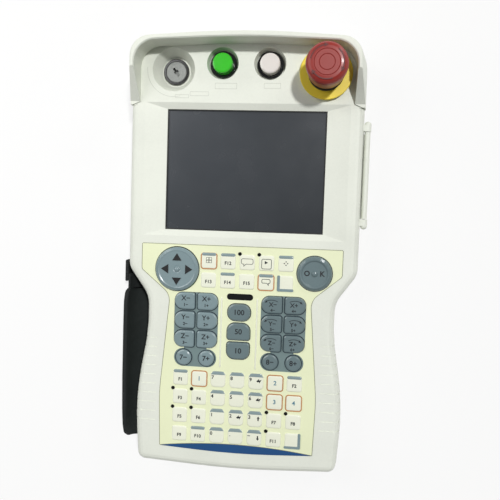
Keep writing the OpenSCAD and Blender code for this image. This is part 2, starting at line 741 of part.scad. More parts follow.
module front_case() {
  color(white) difference() {
    union() {
      front_shell();
      for (p = screw_points) at(p.x, p.y) rod(boss_d_outer, parting_z + boss_gap, under_panel + tiny);
      for (p = bracket_screws) at(p.x, p.y) rod(post_d, lcd_z, under_panel + tiny);
      for (p = keypad_screws) at(p.x, p.y) rod(post_d, keypad_board_z, under_panel + tiny);
      at(mode_at.x, mode_at.y) cup(mode_recess_d, mode_floor_d, mode_depth);
      for (p = [start_at, hold_at]) at(p.x, p.y) cup(button_recess_d, button_floor_d, button_depth);
      at(estop_at.x, estop_at.y) rod(boss_d, under_panel, boss_top_z);
      for (side = [-1, 1]) ear(side);
    }
    screen_frame_cut();
    at(screen_x, screen_y) slab(-screen_w / 2, screen_w / 2, -screen_h / 2, screen_h / 2, under_panel - 1,
      panel_z + 1);
    prism(film_corners, film_z, panel_z + 1, -film_gap);
    for (block = [0, 1]) {
      jog_plate_solid(block, plate_z, panel_z, 0.1);
      at(jog_block_x[block], jog_plate_y) prism(
        box_corners(jog_window_w + 2 * (plate_margin - plate_ledge),
          jog_plate_h + 2 * (plate_margin - plate_ledge), 3), under_panel - 1, panel_z);
    }
    for (i = [0 : 2]) at(speed_at(i).x, speed_at(i).y)
      prism(speed_corners(i), under_panel - 1, panel_z, -key_gap, 15);
    at(cursor_at.x, cursor_at.y) rod(cursor_d + 2 * cursor_gap, under_panel - 1, panel_z);
    at(select_at.x, select_at.y) rod(select_d + 2 * key_gap, under_panel - 1, panel_z);
    at(mode_at.x, mode_at.y)
      cup_cut(mode_recess_d, mode_floor_d, mode_barrel_d + 0.2, mode_depth);
    for (p = [start_at, hold_at]) at(p.x, p.y)
      cup_cut(button_recess_d, button_floor_d, button_barrel_d + 0.2, button_depth);
    at(estop_at.x, estop_at.y) rod(barrel_d + 0.2, under_panel - 1, boss_top_z + 1);
    for (p = screw_points) at(p.x, p.y) rod(screw_d + screw_gap, parting_z - 1, screw_tip_z + 0.5);
    for (p = bracket_screws) at(p.x, p.y) rod(small_screw_d + screw_gap, lcd_z - 1, lcd_z + 5);
    for (p = keypad_screws) at(p.x, p.y)
      rod(small_screw_d + screw_gap, keypad_board_z - 1, under_panel + 0.6);
    at(0, door_y) translate([pin_x, -ears_l / 2 + 2, door_pin_z]) rotate([-90, 0, 0])
      cylinder(d = door_pin_d + 2 * tiny, h = ears_l - 4, $fn = 48);
    case_seal_groove(parting_z - 1, parting_z + seal_t / 2);
  }
}

screw_seat_z = 3.4;
screw_tip_z = parting_z + 6;
lever_axis_x = -spine_w / 2 - 2.6;
lever_y = end_y + lever_from_end;
lever_pin_z = wing_z + 0.6;
lever_far_x = lever_axis_x - lever_w;
pocket_z = wing_z + lever_pocket;

module case_seal_groove(z0, z1) {
  difference() {
    prism(body_corners, z0, z1, wall + 0.2);
    prism(body_corners, z0 - 1, z1 + 1, wall + 3);
  }
}

module lever_pocket_box(z0, z1, grow) {
  slab(lever_far_x - 1 - grow, lever_axis_x + 2 + grow, lever_y - lever_l / 2 - 1 - grow,
    lever_y + lever_l / 2 + 1 + grow, z0, z1);
}

inlet_at = [30, 12.6];

module rear_case() {
  floor_z = wall;
  color([0.88, 0.89, 0.85]) difference() {
    union() {
      difference() {
        union() {
          loft(body_corners, rear_levels);
          loft(back_corners, back_levels);
          loft(spine_corners, back_levels);
        }
        prism(body_corners, wing_z + wall, parting_z + 1, wall + 2.2);
        prism(back_corners, floor_z, wing_z + wall + 1, wall);
        prism(spine_corners, floor_z, wing_z + wall + 1, wall);
      }
      for (p = screw_points) at(p.x, p.y) rod(boss_d_outer, floor_z - tiny, parting_z - boss_gap);
      for (p = main_board_screws) at(p.x, p.y) rod(post_d, floor_z - tiny, main_board_z - board_t);
      lever_pocket_box(wing_z + 1, pocket_z + 2, 1.8);
      translate([inlet_at.x, end_y + 1.5, inlet_at.y]) rotate([-90, 0, 0])
        cylinder(d = inlet_sleeve_d + 1, h = 8, $fn = 64);
    }
    lever_pocket_box(wing_z - 1, pocket_z, 0);
    translate([lever_axis_x, lever_y - lever_l / 2 - 3, lever_pin_z]) rotate([-90, 0, 0])
      cylinder(d = lever_pin_d + 2 * tiny, h = lever_l + 6, $fn = 48);
    for (p = screw_points) at(p.x, p.y) {
      rod(screw_d + 0.3, -1, parting_z + 1);
      rod(screw_d * 1.9 + 0.4, -1, screw_seat_z);
    }
    for (p = main_board_screws) at(p.x, p.y)
      rod(small_screw_d + screw_gap, main_board_z - board_t - 4, main_board_z);
    at(0, door_y) slab(body_w / 2 - 12, body_w / 2 + 1, -card_w / 2, card_w / 2, card_z - card_h / 2,
      card_z + card_h / 2);
    translate([inlet_at.x, end_y - 1, inlet_at.y]) rotate([-90, 0, 0])
      cylinder(d = inlet_sleeve_d, h = 12, $fn = 64);
    case_seal_groove(parting_z - seal_t / 2, parting_z + 1);
  }
}

module top_guard() {
  inner_corners = mirrored([
    [guard_inner_w / 2, top_y - guard_arm - 20, 1],
    [guard_inner_w / 2, top_y - guard_wall - inner_drop, head_r - guard_wall],
    [0, top_y - guard_wall + crown_past(inner_drop, guard_inner_w / 2), crown_r]]);
  color(white) difference() {
    intersection() {
      // Only the arms lean: the end wall is shifted back by as much as its outline is inset
      loft(body_corners, concat([[-guard_proud, parting_z, 0], [1 - guard_proud, panel_z, 1]],
        [for (level = round_edge(2, guard_z, guard_lean - guard_proud, 1))
          [level[0], level[1], guard_lean]]));
      head_zone(0);
    }
    prism(body_corners, parting_z - 1, panel_z, neck_inset);
    loft(inner_corners, [[0, panel_z - 1], [0, guard_z - 0.8], [-0.8, guard_z], [-0.8, guard_z + 1]]);
    // Slope from the full height down to the ends of the arms
    translate([-around, 0, 0]) rotate([90, 0, 90]) linear_extrude(2 * around) polygon([
      [top_y - guard_full, guard_z + 1], [top_y - guard_full, guard_z],
      [top_y - guard_arm, panel_z + 1.2], [top_y - guard_arm - 5, panel_z + 1.2],
      [top_y - guard_arm - 5, guard_z + 1]]);
  }
}

module case_seal() {
  color(black) difference() {
    prism(body_corners, parting_z - seal_t / 2, parting_z + seal_t / 2, wall + 0.25);
    prism(body_corners, parting_z - seal_t, parting_z + seal_t, wall + 1.35);
  }
}

module case_screws() {
  color([0.6, 0.6, 0.62]) for (p = screw_points) at(p.x, p.y) difference() {
    union() {
      rod(screw_d * 1.9, 0.8, screw_seat_z);
      rod(screw_d, 0.8, screw_tip_z);
    }
    rod(screw_d * 0.8, 0, 2.2);
  }
}

// ---- Display ----

module framed(w, h, inner_w, inner_h, r, z0, z1) {
  at(screen_x, screen_y) difference() {
    prism(box_corners(w, h, r), z0, z1);
    prism(box_corners(inner_w, inner_h, 0.6), z0 - 1, z1 + 1);
  }
}

module screen_gasket() {
  color(black) framed(screen_w + 2 * glass_margin, screen_h + 2 * glass_margin,
    screen_w - 2 * gasket_show, screen_h - 2 * gasket_show, 1.5, glass_z, under_panel);
}

module touch_panel() {
  color([0.2, 0.22, 0.26]) at(screen_x, screen_y) prism(
    box_corners(screen_w + 2 * glass_margin, screen_h + 2 * glass_margin, 1.5), glass_z - glass_t, glass_z);
}

module lcd_module() {
  color([0.35, 0.36, 0.38]) at(screen_x, screen_y) prism(
    box_corners(screen_w + 2 * lcd_margin, screen_h + 2 * lcd_margin, 1), lcd_z, lcd_z + lcd_t);
}

module lcd_bracket() {
  color([0.72, 0.73, 0.75]) difference() {
    union() {
      at(screen_x, screen_y) prism(
        box_corners(screen_w + 2 * lcd_margin, screen_h + 2 * lcd_margin, 1), lcd_z - bracket_t, lcd_z);
      for (p = bracket_screws) at(p.x, p.y) {
        rod(8, lcd_z - bracket_t, lcd_z);
        side = p.y > screen_y ? -1 : 1;
        slab(-4, 4, min(0, side * 6), max(0, side * 6), lcd_z - bracket_t, lcd_z);
      }
    }
    for (x = [-1, 1]) for (y = [-1, 1]) at(screen_x + x * screen_w / 4, screen_y + y * screen_h / 4)
      prism(box_corners(screen_w / 2 - 12, screen_h / 2 - 12, 4), lcd_z - 5, lcd_z + 1);
    for (p = bracket_screws) at(p.x, p.y) rod(small_screw_d + 0.2, lcd_z - 5, lcd_z + 1);
  }
}

// ---- Boards ----

module main_board() {
  z = main_board_z;
  color([0.1, 0.38, 0.22]) difference() {
    union() {
      at(0, screen_y) prism(box_corners(main_board_w, main_board_l, 2), z - board_t, z);
      at(-14, screen_y + 8) slab(-12, 12, -12, 12, z - tiny, z + 2.4);
      at(20, screen_y + 10) slab(-8, 8, -5, 5, z - tiny, z + 1.4);
      at(20, screen_y - 8) slab(-8, 8, -5, 5, z - tiny, z + 1.4);
      at(-30, screen_y - 33) slab(-12, 12, -3, 3, z - tiny, z + 4.5);
      at(14, screen_y - 33) slab(-16, 16, -3, 3, z - tiny, z + 4.5);
      for (x = [-38, -30, -22]) at(x, screen_y + 32) rod(6, z - tiny, z + 5.5);
      at(40, screen_y - 12) rod(7, z - tiny, z + 5.5);
    }
    for (p = main_board_screws) at(p.x, p.y) rod(small_screw_d + 0.2, z - 5, z + 1);
  }
}

// Carries one low push switch under each moulded key, and the cup of the cursor ball
module keypad_board() {
  z = keypad_board_z;
  color([0.1, 0.38, 0.22]) difference() {
    union() {
      slab(-keypad_half_w, keypad_half_w, keypad_low_y, keypad_neck_y, z - board_t, z);
      slab(-keypad_head_x, keypad_head_x, keypad_neck_y, keypad_high_y, z - board_t, z);
      for (block = [0, 1]) for (column = [0, 1]) for (row = [0 : 3]) {
        place = jog_at(block, column, row);
        at(place.x, place.y) slab(-3, 3, -3, 3, z - tiny, z + 1.5);
      }
      for (i = [0 : 2]) at(speed_at(i).x, speed_at(i).y) slab(-3, 3, -3, 3, z - tiny, z + 1.5);
      at(select_at.x, select_at.y) slab(-3, 3, -3, 3, z - tiny, z + 1.5);
      for (angle = [45 : 90 : 315]) at(cursor_at.x, cursor_at.y) rotate(angle)
        slab(8.5, 13.5, -2.5, 2.5, z - tiny, z + 1.2);
      at(cursor_at.x, cursor_at.y) rod(ball_d + 2.6, z - tiny, ball_z - 0.5);
      at(0, row_y - 36) slab(-14, 14, -2.5, 2.5, z - board_t - 4, z - board_t + tiny);
    }
    at(cursor_at.x, cursor_at.y, ball_z) sphere(d = ball_d + 2 * run_gap, $fn = 64);
    for (p = keypad_screws) at(p.x, p.y) rod(small_screw_d + 0.2, z - 5, z + 1);
  }
}

module small_screw(way) {
  scale([1, 1, way]) difference() {
    union() {
      rod(small_screw_d * 1.8, -1.6, 0);
      rod(small_screw_d, -1.6, 4.6);
    }
    rod(small_screw_d * 0.7, -2, -0.7);
  }
}

module inner_screws() {
  color([0.6, 0.6, 0.62]) {
    for (p = bracket_screws) at(p.x, p.y, lcd_z - bracket_t) small_screw(1);
    for (p = keypad_screws) at(p.x, p.y, keypad_board_z - board_t) small_screw(1);
    for (p = main_board_screws) at(p.x, p.y, main_board_z) mirror([0, 0, 1]) small_screw(1);
  }
}

// ---- Cursor and select keys ----

ball_z = keypad_board_z + 2.6;

module cursor_ball() {
  color([0.7, 0.7, 0.72]) at(cursor_at.x, cursor_at.y, ball_z) sphere(d = ball_d, $fn = 64);
}

module cursor_key() {
  r = cursor_d / 2;
  top = panel_z + cursor_rise;
  foot = under_panel + 0.4;
  color(slate) at(cursor_at.x, cursor_at.y) difference() {
    turned([[0, ball_z + 0.3], [4.2, ball_z + 0.3], [4.2, foot], [r - 0.6, foot], [r, foot + 0.6],
      [r, top - 1.6], [r - 0.5, top - 0.9], [r - 2.2, top], [r - 3, top - 0.25], [3, top - 0.7],
      [2.2, top - 0.9], [2, top - 0.3], [1.3, top + 0.3], [0.5, top + 0.5], [0, top + 0.5]]);
    translate([0, 0, ball_z]) sphere(d = ball_d + 2 * run_gap, $fn = 64);
  }
}

module select_key() {
  r = select_d / 2;
  dish = dish_d / 2;
  top = panel_z + select_rise;
  flange_z = under_panel - 0.05;
  flange_r = r + key_gap + key_flange;
  color(slate) at(select_at.x, select_at.y)
    turned([[0, key_foot_z], [2.5, key_foot_z], [2.5, flange_z - flange_t],
      [flange_r, flange_z - flange_t], [flange_r, flange_z], [r, flange_z], [r, top - 1.8],
      [r - 0.6, top - 1], [dish + 0.6, top], [dish - 0.2, top - 0.1], [dish - 1.2, top - 0.9],
      [2.4, top - 1.1], [1.9, top - 0.5], [1.2, top], [0.5, top + 0.2], [0, top + 0.2]]);
}

// ---- Mode switch ----

mode_floor = panel_z - mode_depth;
mode_top = mode_floor + 2;

module mode_switch_body() {
  color(black) at(mode_at.x, mode_at.y) difference() {
    union() {
      turned([[0, 4], [mode_barrel_d / 2, 4], [mode_barrel_d / 2, mode_floor],
        [mode_collar_d / 2, mode_floor], [mode_collar_d / 2, mode_top - 0.6],
        [mode_collar_d / 2 - 0.6, mode_top], [0, mode_top]]);
      slab(-10, 10, -9, 9, wall, 10);
    }
    rod(lock_d + 2 * run_gap, mode_top - 9, mode_top + 1);
  }
}

module mode_lock() {
  r = lock_d / 2;
  color([0.68, 0.69, 0.7]) at(mode_at.x, mode_at.y) rotate(-52) difference() {
    turned([[0, mode_top - 9], [r, mode_top - 9], [r, mode_top - 0.5], [r - 0.5, mode_top - 0.1],
      [0, mode_top - 0.1]]);
    slab(-r * 0.46, r * 0.46, -slot_w / 2, slot_w / 2, mode_top - 4, mode_top + 1);
    slab(-r * 0.14, r * 0.14, -slot_w, slot_w, mode_top - 4, mode_top + 1);
  }
}

// ---- Push buttons ----

button_floor = panel_z - button_depth;
collar_z = button_floor + 1.6;

module push_switch_body(place) {
  color(black) at(place.x, place.y) difference() {
    union() {
      turned([[0, 6], [button_barrel_d / 2, 6], [button_barrel_d / 2, button_floor],
        [collar_d / 2, button_floor], [collar_d / 2, collar_z - 0.6], [collar_d / 2 - 0.6, collar_z],
        [0, collar_z]]);
      slab(-9, 9, -8, 8, wall, 12);
    }
    rod(lens_d + 2 * run_gap, collar_z - button_travel - 8, collar_z + 1);
  }
}

module push_button(place, tint) {
  top = panel_z + lens_rise;
  r = lens_d / 2;
  color(tint) at(place.x, place.y) turned([[0, collar_z - 8 + 0.3], [r, collar_z - 8 + 0.3], [r, top - 1.2],
    [r - 0.35, top - 0.35], [r - 1.2, top], [0, top]]);
}

nut_h = 2.2;
module hex_nut(d, hole, z1) {
  difference() {
    translate([0, 0, z1 - nut_h]) cylinder(d = d, h = nut_h, $fn = 6);
    rod(hole, z1 - nut_h - 1, z1 + 1);
  }
}

module switch_nuts() {
  color([0.75, 0.75, 0.72]) {
    at(mode_at.x, mode_at.y) hex_nut(mode_barrel_d + 5, mode_barrel_d + 0.1, mode_floor - 2.5);
    for (p = [start_at, hold_at]) at(p.x, p.y)
      hex_nut(button_barrel_d + 5, button_barrel_d + 0.1, button_floor - 2.5);
  }
}

// ---- Emergency stop ----

estop_collar_z = yellow_z + 2.4;
head_foot = yellow_z + head_lift;
head_top = head_foot + head_h;
block_z = under_panel - 7.5;

module estop_plate() {
  color([0.98, 0.82, 0.12]) at(estop_at.x, estop_at.y) difference() {
    turned([[0, boss_top_z], [plate_d / 2 - 0.4, boss_top_z], [plate_d / 2, boss_top_z + 0.4],
      [plate_d / 2, yellow_z - 0.4], [plate_d / 2 - 0.4, yellow_z], [0, yellow_z]]);
    rod(barrel_d + 0.2, boss_top_z - 1, yellow_z + 1);
  }
}

module estop_body() {
  color(black) at(estop_at.x, estop_at.y) difference() {
    union() {
      turned([[0, block_z - 1], [barrel_d / 2, block_z - 1], [barrel_d / 2, yellow_z],
        [barrel_d / 2 + 1.6, yellow_z], [barrel_d / 2 + 1.6, estop_collar_z - 0.8],
        [barrel_d / 2 + 0.8, estop_collar_z], [0, estop_collar_z]]);
      prism(box_corners(block_side, block_side, 2), wall, block_z);
    }
    rod(shaft_d + 2 * run_gap, shaft_foot - estop_travel - 0.5, estop_collar_z + 1);
  }
}

shaft_foot = wall + 7;
module estop_shaft() {
  color([0.3, 0.3, 0.32]) at(estop_at.x, estop_at.y) rod(shaft_d, shaft_foot, head_top - 4);
}

module estop_head() {
  r = head_d / 2;
  neck = r - 4.5;
  color([0.72, 0.18, 0.16]) at(estop_at.x, estop_at.y) difference() {
    turned([[0, head_foot - 3], [neck, head_foot - 3], [neck, head_foot], [r - 1.6, head_foot],
      [r - 1, head_foot + 0.5], [r - 0.2, head_top - 8], [r, head_top - 5], [r - 0.5, head_top - 2.4],
      [r - 1.8, head_top - 0.9], [r - 3.4, head_top - 0.2], [r - 5, head_top], [0, head_top]]);
    rod(shaft_d + 2 * run_gap, head_foot - 4, head_top - 3.7);
    // Two rings let into the top
    for (groove = [r * 0.36, r * 0.6]) rotate_extrude($fn = 96)
      translate([groove, head_top]) polygon([[-0.35, 0.1], [0, -0.35], [0.35, 0.1]]);
  }
}

module estop_nut() {
  color([0.75, 0.75, 0.72]) at(estop_at.x, estop_at.y) difference() {
    rod(barrel_d + 6, under_panel - 4, under_panel);
    rod(barrel_d + 0.1, under_panel - 5, under_panel + 1);
  }
}

// ---- Card slot and its door ----

module card_socket() {
  inner_x = body_w / 2 - wall - 2.2 - 0.2;
  color([0.2, 0.2, 0.22]) at(0, door_y) difference() {
    slab(inner_x - 28, inner_x, -card_w / 2 - 1.5, card_w / 2 + 1.5, wing_z + wall,
      card_z + card_h / 2 + 1);
    slab(inner_x - 26, inner_x + 1, -card_w / 2, card_w / 2, card_z - card_h / 2, card_z + card_h / 2);
  }
}

module door_hinge_pin() {
  color([0.6, 0.6, 0.62]) translate([pin_x, door_y - ears_l / 2 + 2, door_pin_z]) rotate([-90, 0, 0])
    cylinder(d = door_pin_d, h = ears_l - 4, $fn = 48);
}

module card_door() {
  color(white) at(0, door_y) difference() {
    union() {
      translate([pin_x, -door_half, door_pin_z]) rotate([-90, 0, 0])
        cylinder(r = knuckle_r, h = 2 * door_half, $fn = 48);
      slab(pin_x - 1.4, pin_x - 1.4 + door_t, -door_half, door_half, door_bottom_z + 1, door_pin_z);
      // Finger lip along the free edge
      slab(pin_x - 1.4, pin_x + 1.6, -door_half + 8, door_half - 8, door_bottom_z, door_bottom_z + 2);
    }
    translate([pin_x, -door_half - 1, door_pin_z]) rotate([-90, 0, 0])
      cylinder(d = door_pin_d + 2 * run_gap, h = 2 * door_half + 2, $fn = 48);
  }
}

// ---- Enable lever ----

lever_top = wing_z + 1.4;

module enable_lever() {
  foot = wing_z - lever_drop;
  color([0.2, 0.2, 0.22]) translate([0, lever_y + lever_l / 2, 0]) rotate([90, 0, 0]) difference() {
    linear_extrude(lever_l) polygon(outline([
      [lever_axis_x + 1.8, lever_pin_z - 1.9, 1.2], [lever_axis_x + 1.8, lever_pin_z + 1.7, 1.2],
      [lever_far_x, lever_top, 0.6], [lever_far_x, foot + 0.2, 1.6], [lever_far_x + 5, foot, 8]], 0, 15));
    translate([lever_axis_x, lever_pin_z, -1])
      cylinder(d = lever_pin_d + 2 * run_gap, h = lever_l + 2, $fn = 48);
  }
}

module enable_lever_pin() {
  color([0.6, 0.6, 0.62]) translate([lever_axis_x, lever_y - lever_l / 2 - 3, lever_pin_z])
    rotate([-90, 0, 0]) cylinder(d = lever_pin_d, h = lever_l + 6, $fn = 48);
}

module enable_switch_body() {
  color(black) at(0, lever_y) slab(lever_far_x + 0.4, lever_axis_x, -22, 22, pocket_z + 2, parting_z - 1.4);
}

module cable_inlet() {
  color(black) translate([inlet_at.x, end_y + 0.9, inlet_at.y]) rotate([-90, 0, 0]) difference() {
    union() {
      cylinder(d = inlet_sleeve_d - 0.1, h = 9.6, $fn = 64);
    }
    translate([0, 0, -1]) cylinder(d = inlet_d, h = 12, $fn = 64);
  }
}

// ---- Hand strap ----

strap_edge_x = -grip_w / 2 + 10.4;
upper_anchor_y = end_y + upper_anchor_from_end;
lower_anchor_y = end_y + lower_anchor_from_end;
anchor_w = 12;
anchor_l = 13;
anchor_x = -spine_w / 2 - 1.4 - anchor_w / 2;
webbing_z = wing_z - webbing_t;
webbing_edge_x = anchor_x - anchor_w / 2 - 7;
strap_sink = 1.2;
strap_lever_gap = 1.55;
// Angle at which the sleeve ends under the wing, clear of the enable lever
strap_end = 270 + asin((lever_far_x - strap_lever_gap - strap_edge_x) / strap_r);

// Cross-section of the sleeve at one place along it: a curved band that swings under the grip.
// r is its outer radius, thick its thickness, from and to its first and last angle.
// Its lowest inner point lies strap_sink behind the wing.
function band_section(x, r, thick, from, to, n = 8) = let(z = wing_z - strap_sink + r - thick) concat(
  [for (i = [0 : n]) let(a = from + (to - from) * i / n) [x + r * cos(a), z + r * sin(a)]],
  [for (i = [n : -1 : 0]) let(a = from + (to - from) * i / n)
    [x + (r - thick) * cos(a), z + (r - thick) * sin(a)]]);

module hand_strap() {
  low = lower_anchor_y;
  high = upper_anchor_y;
  x = strap_edge_x;
  r = strap_r;
  t = strap_t;
  // Each station is [y, x of the centre, radius, thickness, first angle, last angle]
  stations = [
    [low - 5, x - 8.5, r - 6, t * 0.7, 214, strap_end - 24],
    [low - 2, x - 6, r - 3.6, t * 0.9, 200, strap_end - 18],
    [low + 6, x - 2, r - 1.2, t, 188, strap_end - 12],
    [low + 20, x, r, t, 181, strap_end - 4],
    [low + 45, x, r, t, 178, strap_end],
    [high - 45, x, r, t, 178, strap_end],
    [high - 26, x, r, t, 179, strap_end - 2],
    [high - 19, x, r - 0.3, t, 182, strap_end - 8],
    [high - 16.5, x, r - 1.5, t * 0.8, 186, strap_end - 14]];
  sections = [for (s = stations) [for (p = band_section(s[1], s[2], s[3], s[4], s[5])) [p.x, s[0], p.y]]];
  n = len(sections[0]);
  last = len(sections) - 1;
  sides = [for (i = [0 : last - 1]) for (j = [0 : n - 1])
    [i * n + j, i * n + (j + 1) % n, (i + 1) * n + (j + 1) % n, (i + 1) * n + j]];
  color([0.1, 0.12, 0.12]) {
    polyhedron(joined(sections), concat(sides, [[for (j = [n - 1 : -1 : 0]) j]],
      [[for (j = [0 : n - 1]) last * n + j]]));
    // Webbing from the sleeve to the anchors
    for (span = [[high - 18, high + anchor_l / 2], [low - anchor_l / 2, low + 8]])
      slab(webbing_edge_x, anchor_x + anchor_w / 2, span[0], span[1], webbing_z, wing_z);
  }
}

// Free end of the webbing, which curls up past the edge of the head
module strap_tail() {
  start = webbing_edge_x - 0.05;
  tip = -body_w / 2 - 6;
  color(black) translate([0, upper_anchor_y + 4.8, 0]) rotate([90, 0, 0]) linear_extrude(16.4)
    polygon(outline([[start, webbing_z - 1, 0.6], [start, wing_z - 0.4, 0.6], [tip + 6.4, wing_z - 0.2, 2],
      [tip + 2.6, wing_z + 3, 2], [tip + 2.4, wing_z + 9, 1], [tip, wing_z + 9, 1], [tip, wing_z + 1.6, 3],
      [tip + 5, webbing_z - 1, 3]], 0, 20));
}

module strap_anchors() {
  color(black) for (y = [upper_anchor_y, lower_anchor_y]) at(anchor_x, y)
    prism(box_corners(anchor_w, anchor_l, 2), webbing_z - anchor_t, webbing_z);
}

module start_switch_body() { push_switch_body(start_at); }
module hold_switch_body() { push_switch_body(hold_at); }
module start_button() { push_button(start_at, [0.2, 0.78, 0.25]); }
module hold_button() { push_button(hold_at, [0.92, 0.91, 0.87]); }
module jog_plate_left() { jog_plate(0); }
module jog_plate_right() { jog_plate(1); }
module jog_x_minus() { jog_key(0, 0, 0); }
module jog_x_plus() { jog_key(0, 1, 0); }
module jog_y_minus() { jog_key(0, 0, 1); }
module jog_y_plus() { jog_key(0, 1, 1); }
module jog_z_minus() { jog_key(0, 0, 2); }
module jog_z_plus() { jog_key(0, 1, 2); }
module jog_e_minus() { jog_key(0, 0, 3); }
module jog_e_plus() { jog_key(0, 1, 3); }
module turn_x_minus() { jog_key(1, 0, 0); }
module turn_x_plus() { jog_key(1, 1, 0); }
module turn_y_minus() { jog_key(1, 0, 1); }
module turn_y_plus() { jog_key(1, 1, 1); }
module turn_z_minus() { jog_key(1, 0, 2); }
module turn_z_plus() { jog_key(1, 1, 2); }
module axis_8_minus() { jog_key(1, 0, 3); }
module axis_8_plus() { jog_key(1, 1, 3); }
module speed_key_upper() { speed_key(0); }
module speed_key_middle() { speed_key(1); }
module speed_key_lower() { speed_key(2); }

front_case();
rear_case();
top_guard();
case_seal();
case_screws();
screen_gasket();
touch_panel();
lcd_module();
lcd_bracket();
main_board();
keypad_board();
inner_screws();
keypad_film();
trim_band();
jog_plate_left();
jog_plate_right();
mode_switch_body();
start_switch_body();
hold_switch_body();
switch_nuts();
estop_plate();
estop_body();
estop_nut();
card_socket();
door_hinge_pin();
hand_strap();
strap_tail();
strap_anchors();
enable_switch_body();
enable_lever_pin();
cable_inlet();
mode_lock();
start_button();
hold_button();
estop_shaft();
estop_head();
enable_lever();
card_door();
cursor_ball();
cursor_key();
select_key();
jog_x_minus();
jog_x_plus();
jog_y_minus();
jog_y_plus();
jog_z_minus();
jog_z_plus();
jog_e_minus();
jog_e_plus();
turn_x_minus();
turn_x_plus();
turn_y_minus();
turn_y_plus();
turn_z_minus();
turn_z_plus();
axis_8_minus();
axis_8_plus();
speed_key_upper();
speed_key_middle();
speed_key_lower();
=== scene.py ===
# %% [markdown]
# # A teach pendant, dressed
# A teach pendant is the hand-held box that steers a robot arm. Its rigid parts come ready made, as a
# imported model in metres. This script gives them their finishes and adds what is printed, moulded
# or sewn on them. Every cell makes one thing, and says first what that thing is on the real object.

import math

import bmesh
import bpy
from mathutils import Matrix, Vector


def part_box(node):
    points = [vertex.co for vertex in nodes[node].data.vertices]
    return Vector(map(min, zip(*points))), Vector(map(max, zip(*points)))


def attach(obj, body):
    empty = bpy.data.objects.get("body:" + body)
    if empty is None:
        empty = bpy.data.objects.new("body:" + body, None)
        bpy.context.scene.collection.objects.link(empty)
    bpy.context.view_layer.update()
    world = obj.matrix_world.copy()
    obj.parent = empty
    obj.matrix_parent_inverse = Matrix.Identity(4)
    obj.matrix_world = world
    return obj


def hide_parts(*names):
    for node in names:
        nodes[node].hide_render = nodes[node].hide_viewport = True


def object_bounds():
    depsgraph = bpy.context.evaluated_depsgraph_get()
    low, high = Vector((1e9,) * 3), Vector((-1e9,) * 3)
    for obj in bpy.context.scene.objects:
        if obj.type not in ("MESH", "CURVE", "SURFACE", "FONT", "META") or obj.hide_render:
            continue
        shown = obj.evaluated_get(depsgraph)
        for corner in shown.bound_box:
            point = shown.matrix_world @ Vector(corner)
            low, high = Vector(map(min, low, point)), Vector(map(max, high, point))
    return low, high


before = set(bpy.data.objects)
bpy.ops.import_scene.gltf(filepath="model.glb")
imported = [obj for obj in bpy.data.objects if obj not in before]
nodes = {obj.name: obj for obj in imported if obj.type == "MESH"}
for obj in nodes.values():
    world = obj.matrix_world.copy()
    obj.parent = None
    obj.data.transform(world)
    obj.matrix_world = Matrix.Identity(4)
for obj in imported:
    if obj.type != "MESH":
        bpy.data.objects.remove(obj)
cad_low, cad_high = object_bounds()
MM = 0.001
print("rigid parts:", len(nodes), "size in mm:", [round(v / MM, 1) for v in cad_high - cad_low])

# %% [markdown]
# ## The camera and the light
# The pendant lies on its back on a white table and is seen from above. The camera hangs a little to
# the right and towards the guarded end, so the left flank and the hand strap show. A camera, a lamp
# and a mesh each need an object that puts them in the scene, so one helper makes it.


# %% Camera
def add_object(name, data):
    """A new object in the scene that shows a camera, a lamp or a mesh."""
    made = bpy.data.objects.new(name, data)
    bpy.context.scene.collection.objects.link(made)
    return made


camera_data = bpy.data.cameras.new("camera")
camera_data.lens = 43.2
camera_data.sensor_width = 36
camera = add_object("camera", camera_data)
camera.location = Vector((51.16, 35.72, 459.63)) * MM
camera.rotation_euler = [math.radians(v) for v in (-3.520, 6.063, 1.910)]
bpy.context.scene.camera = camera
bpy.context.scene.view_settings.view_transform = "Standard"
print("camera height in mm:", round(camera.location.z / MM))

# %% [markdown]
# One small sun from the upper right throws the short shadow beside the emergency stop. A wide soft
# lamp on the left makes that side the brighter one, a small lamp past the upper right corner draws
# bright lines on the edges of the keys, and a plain white world fills the rest. A lamp shines along
# its own -Z, so its Z is turned from the pendant towards the lamp's place.


# %% Lamps
def add_lamp(name, kind, energy, place, **settings):
    """A lamp at a place in metres, aimed at the origin."""
    data = bpy.data.lights.new(name, kind)
    data.energy = energy
    for key, value in settings.items():
        setattr(data, key, value)
    lamp = add_object(name, data)
    lamp.location = place
    lamp.rotation_euler = lamp.location.to_track_quat("Z", "Y").to_euler()
    print(name, "shines from", place)


add_lamp("sun", "SUN", 1.98, (0.33, 0.28, 1.0), angle=math.radians(4))
add_lamp("soft_lamp", "AREA", 1.9, (-0.45, 0.25, 0.55), size=0.5)
add_lamp("glint_lamp", "AREA", 0.9, (0.52, 0.7, 0.46), shape="RECTANGLE", size=0.22, size_y=0.08)

# %% [markdown]
# ## A small language for shaders
# Wiring shader nodes by hand is slow to read. The class Value wraps one socket, and Python's own
# operators add the Math nodes, so a mask is written as a formula. Finish starts a material, and its
# method node makes any other node from its type, its settings and its inputs.


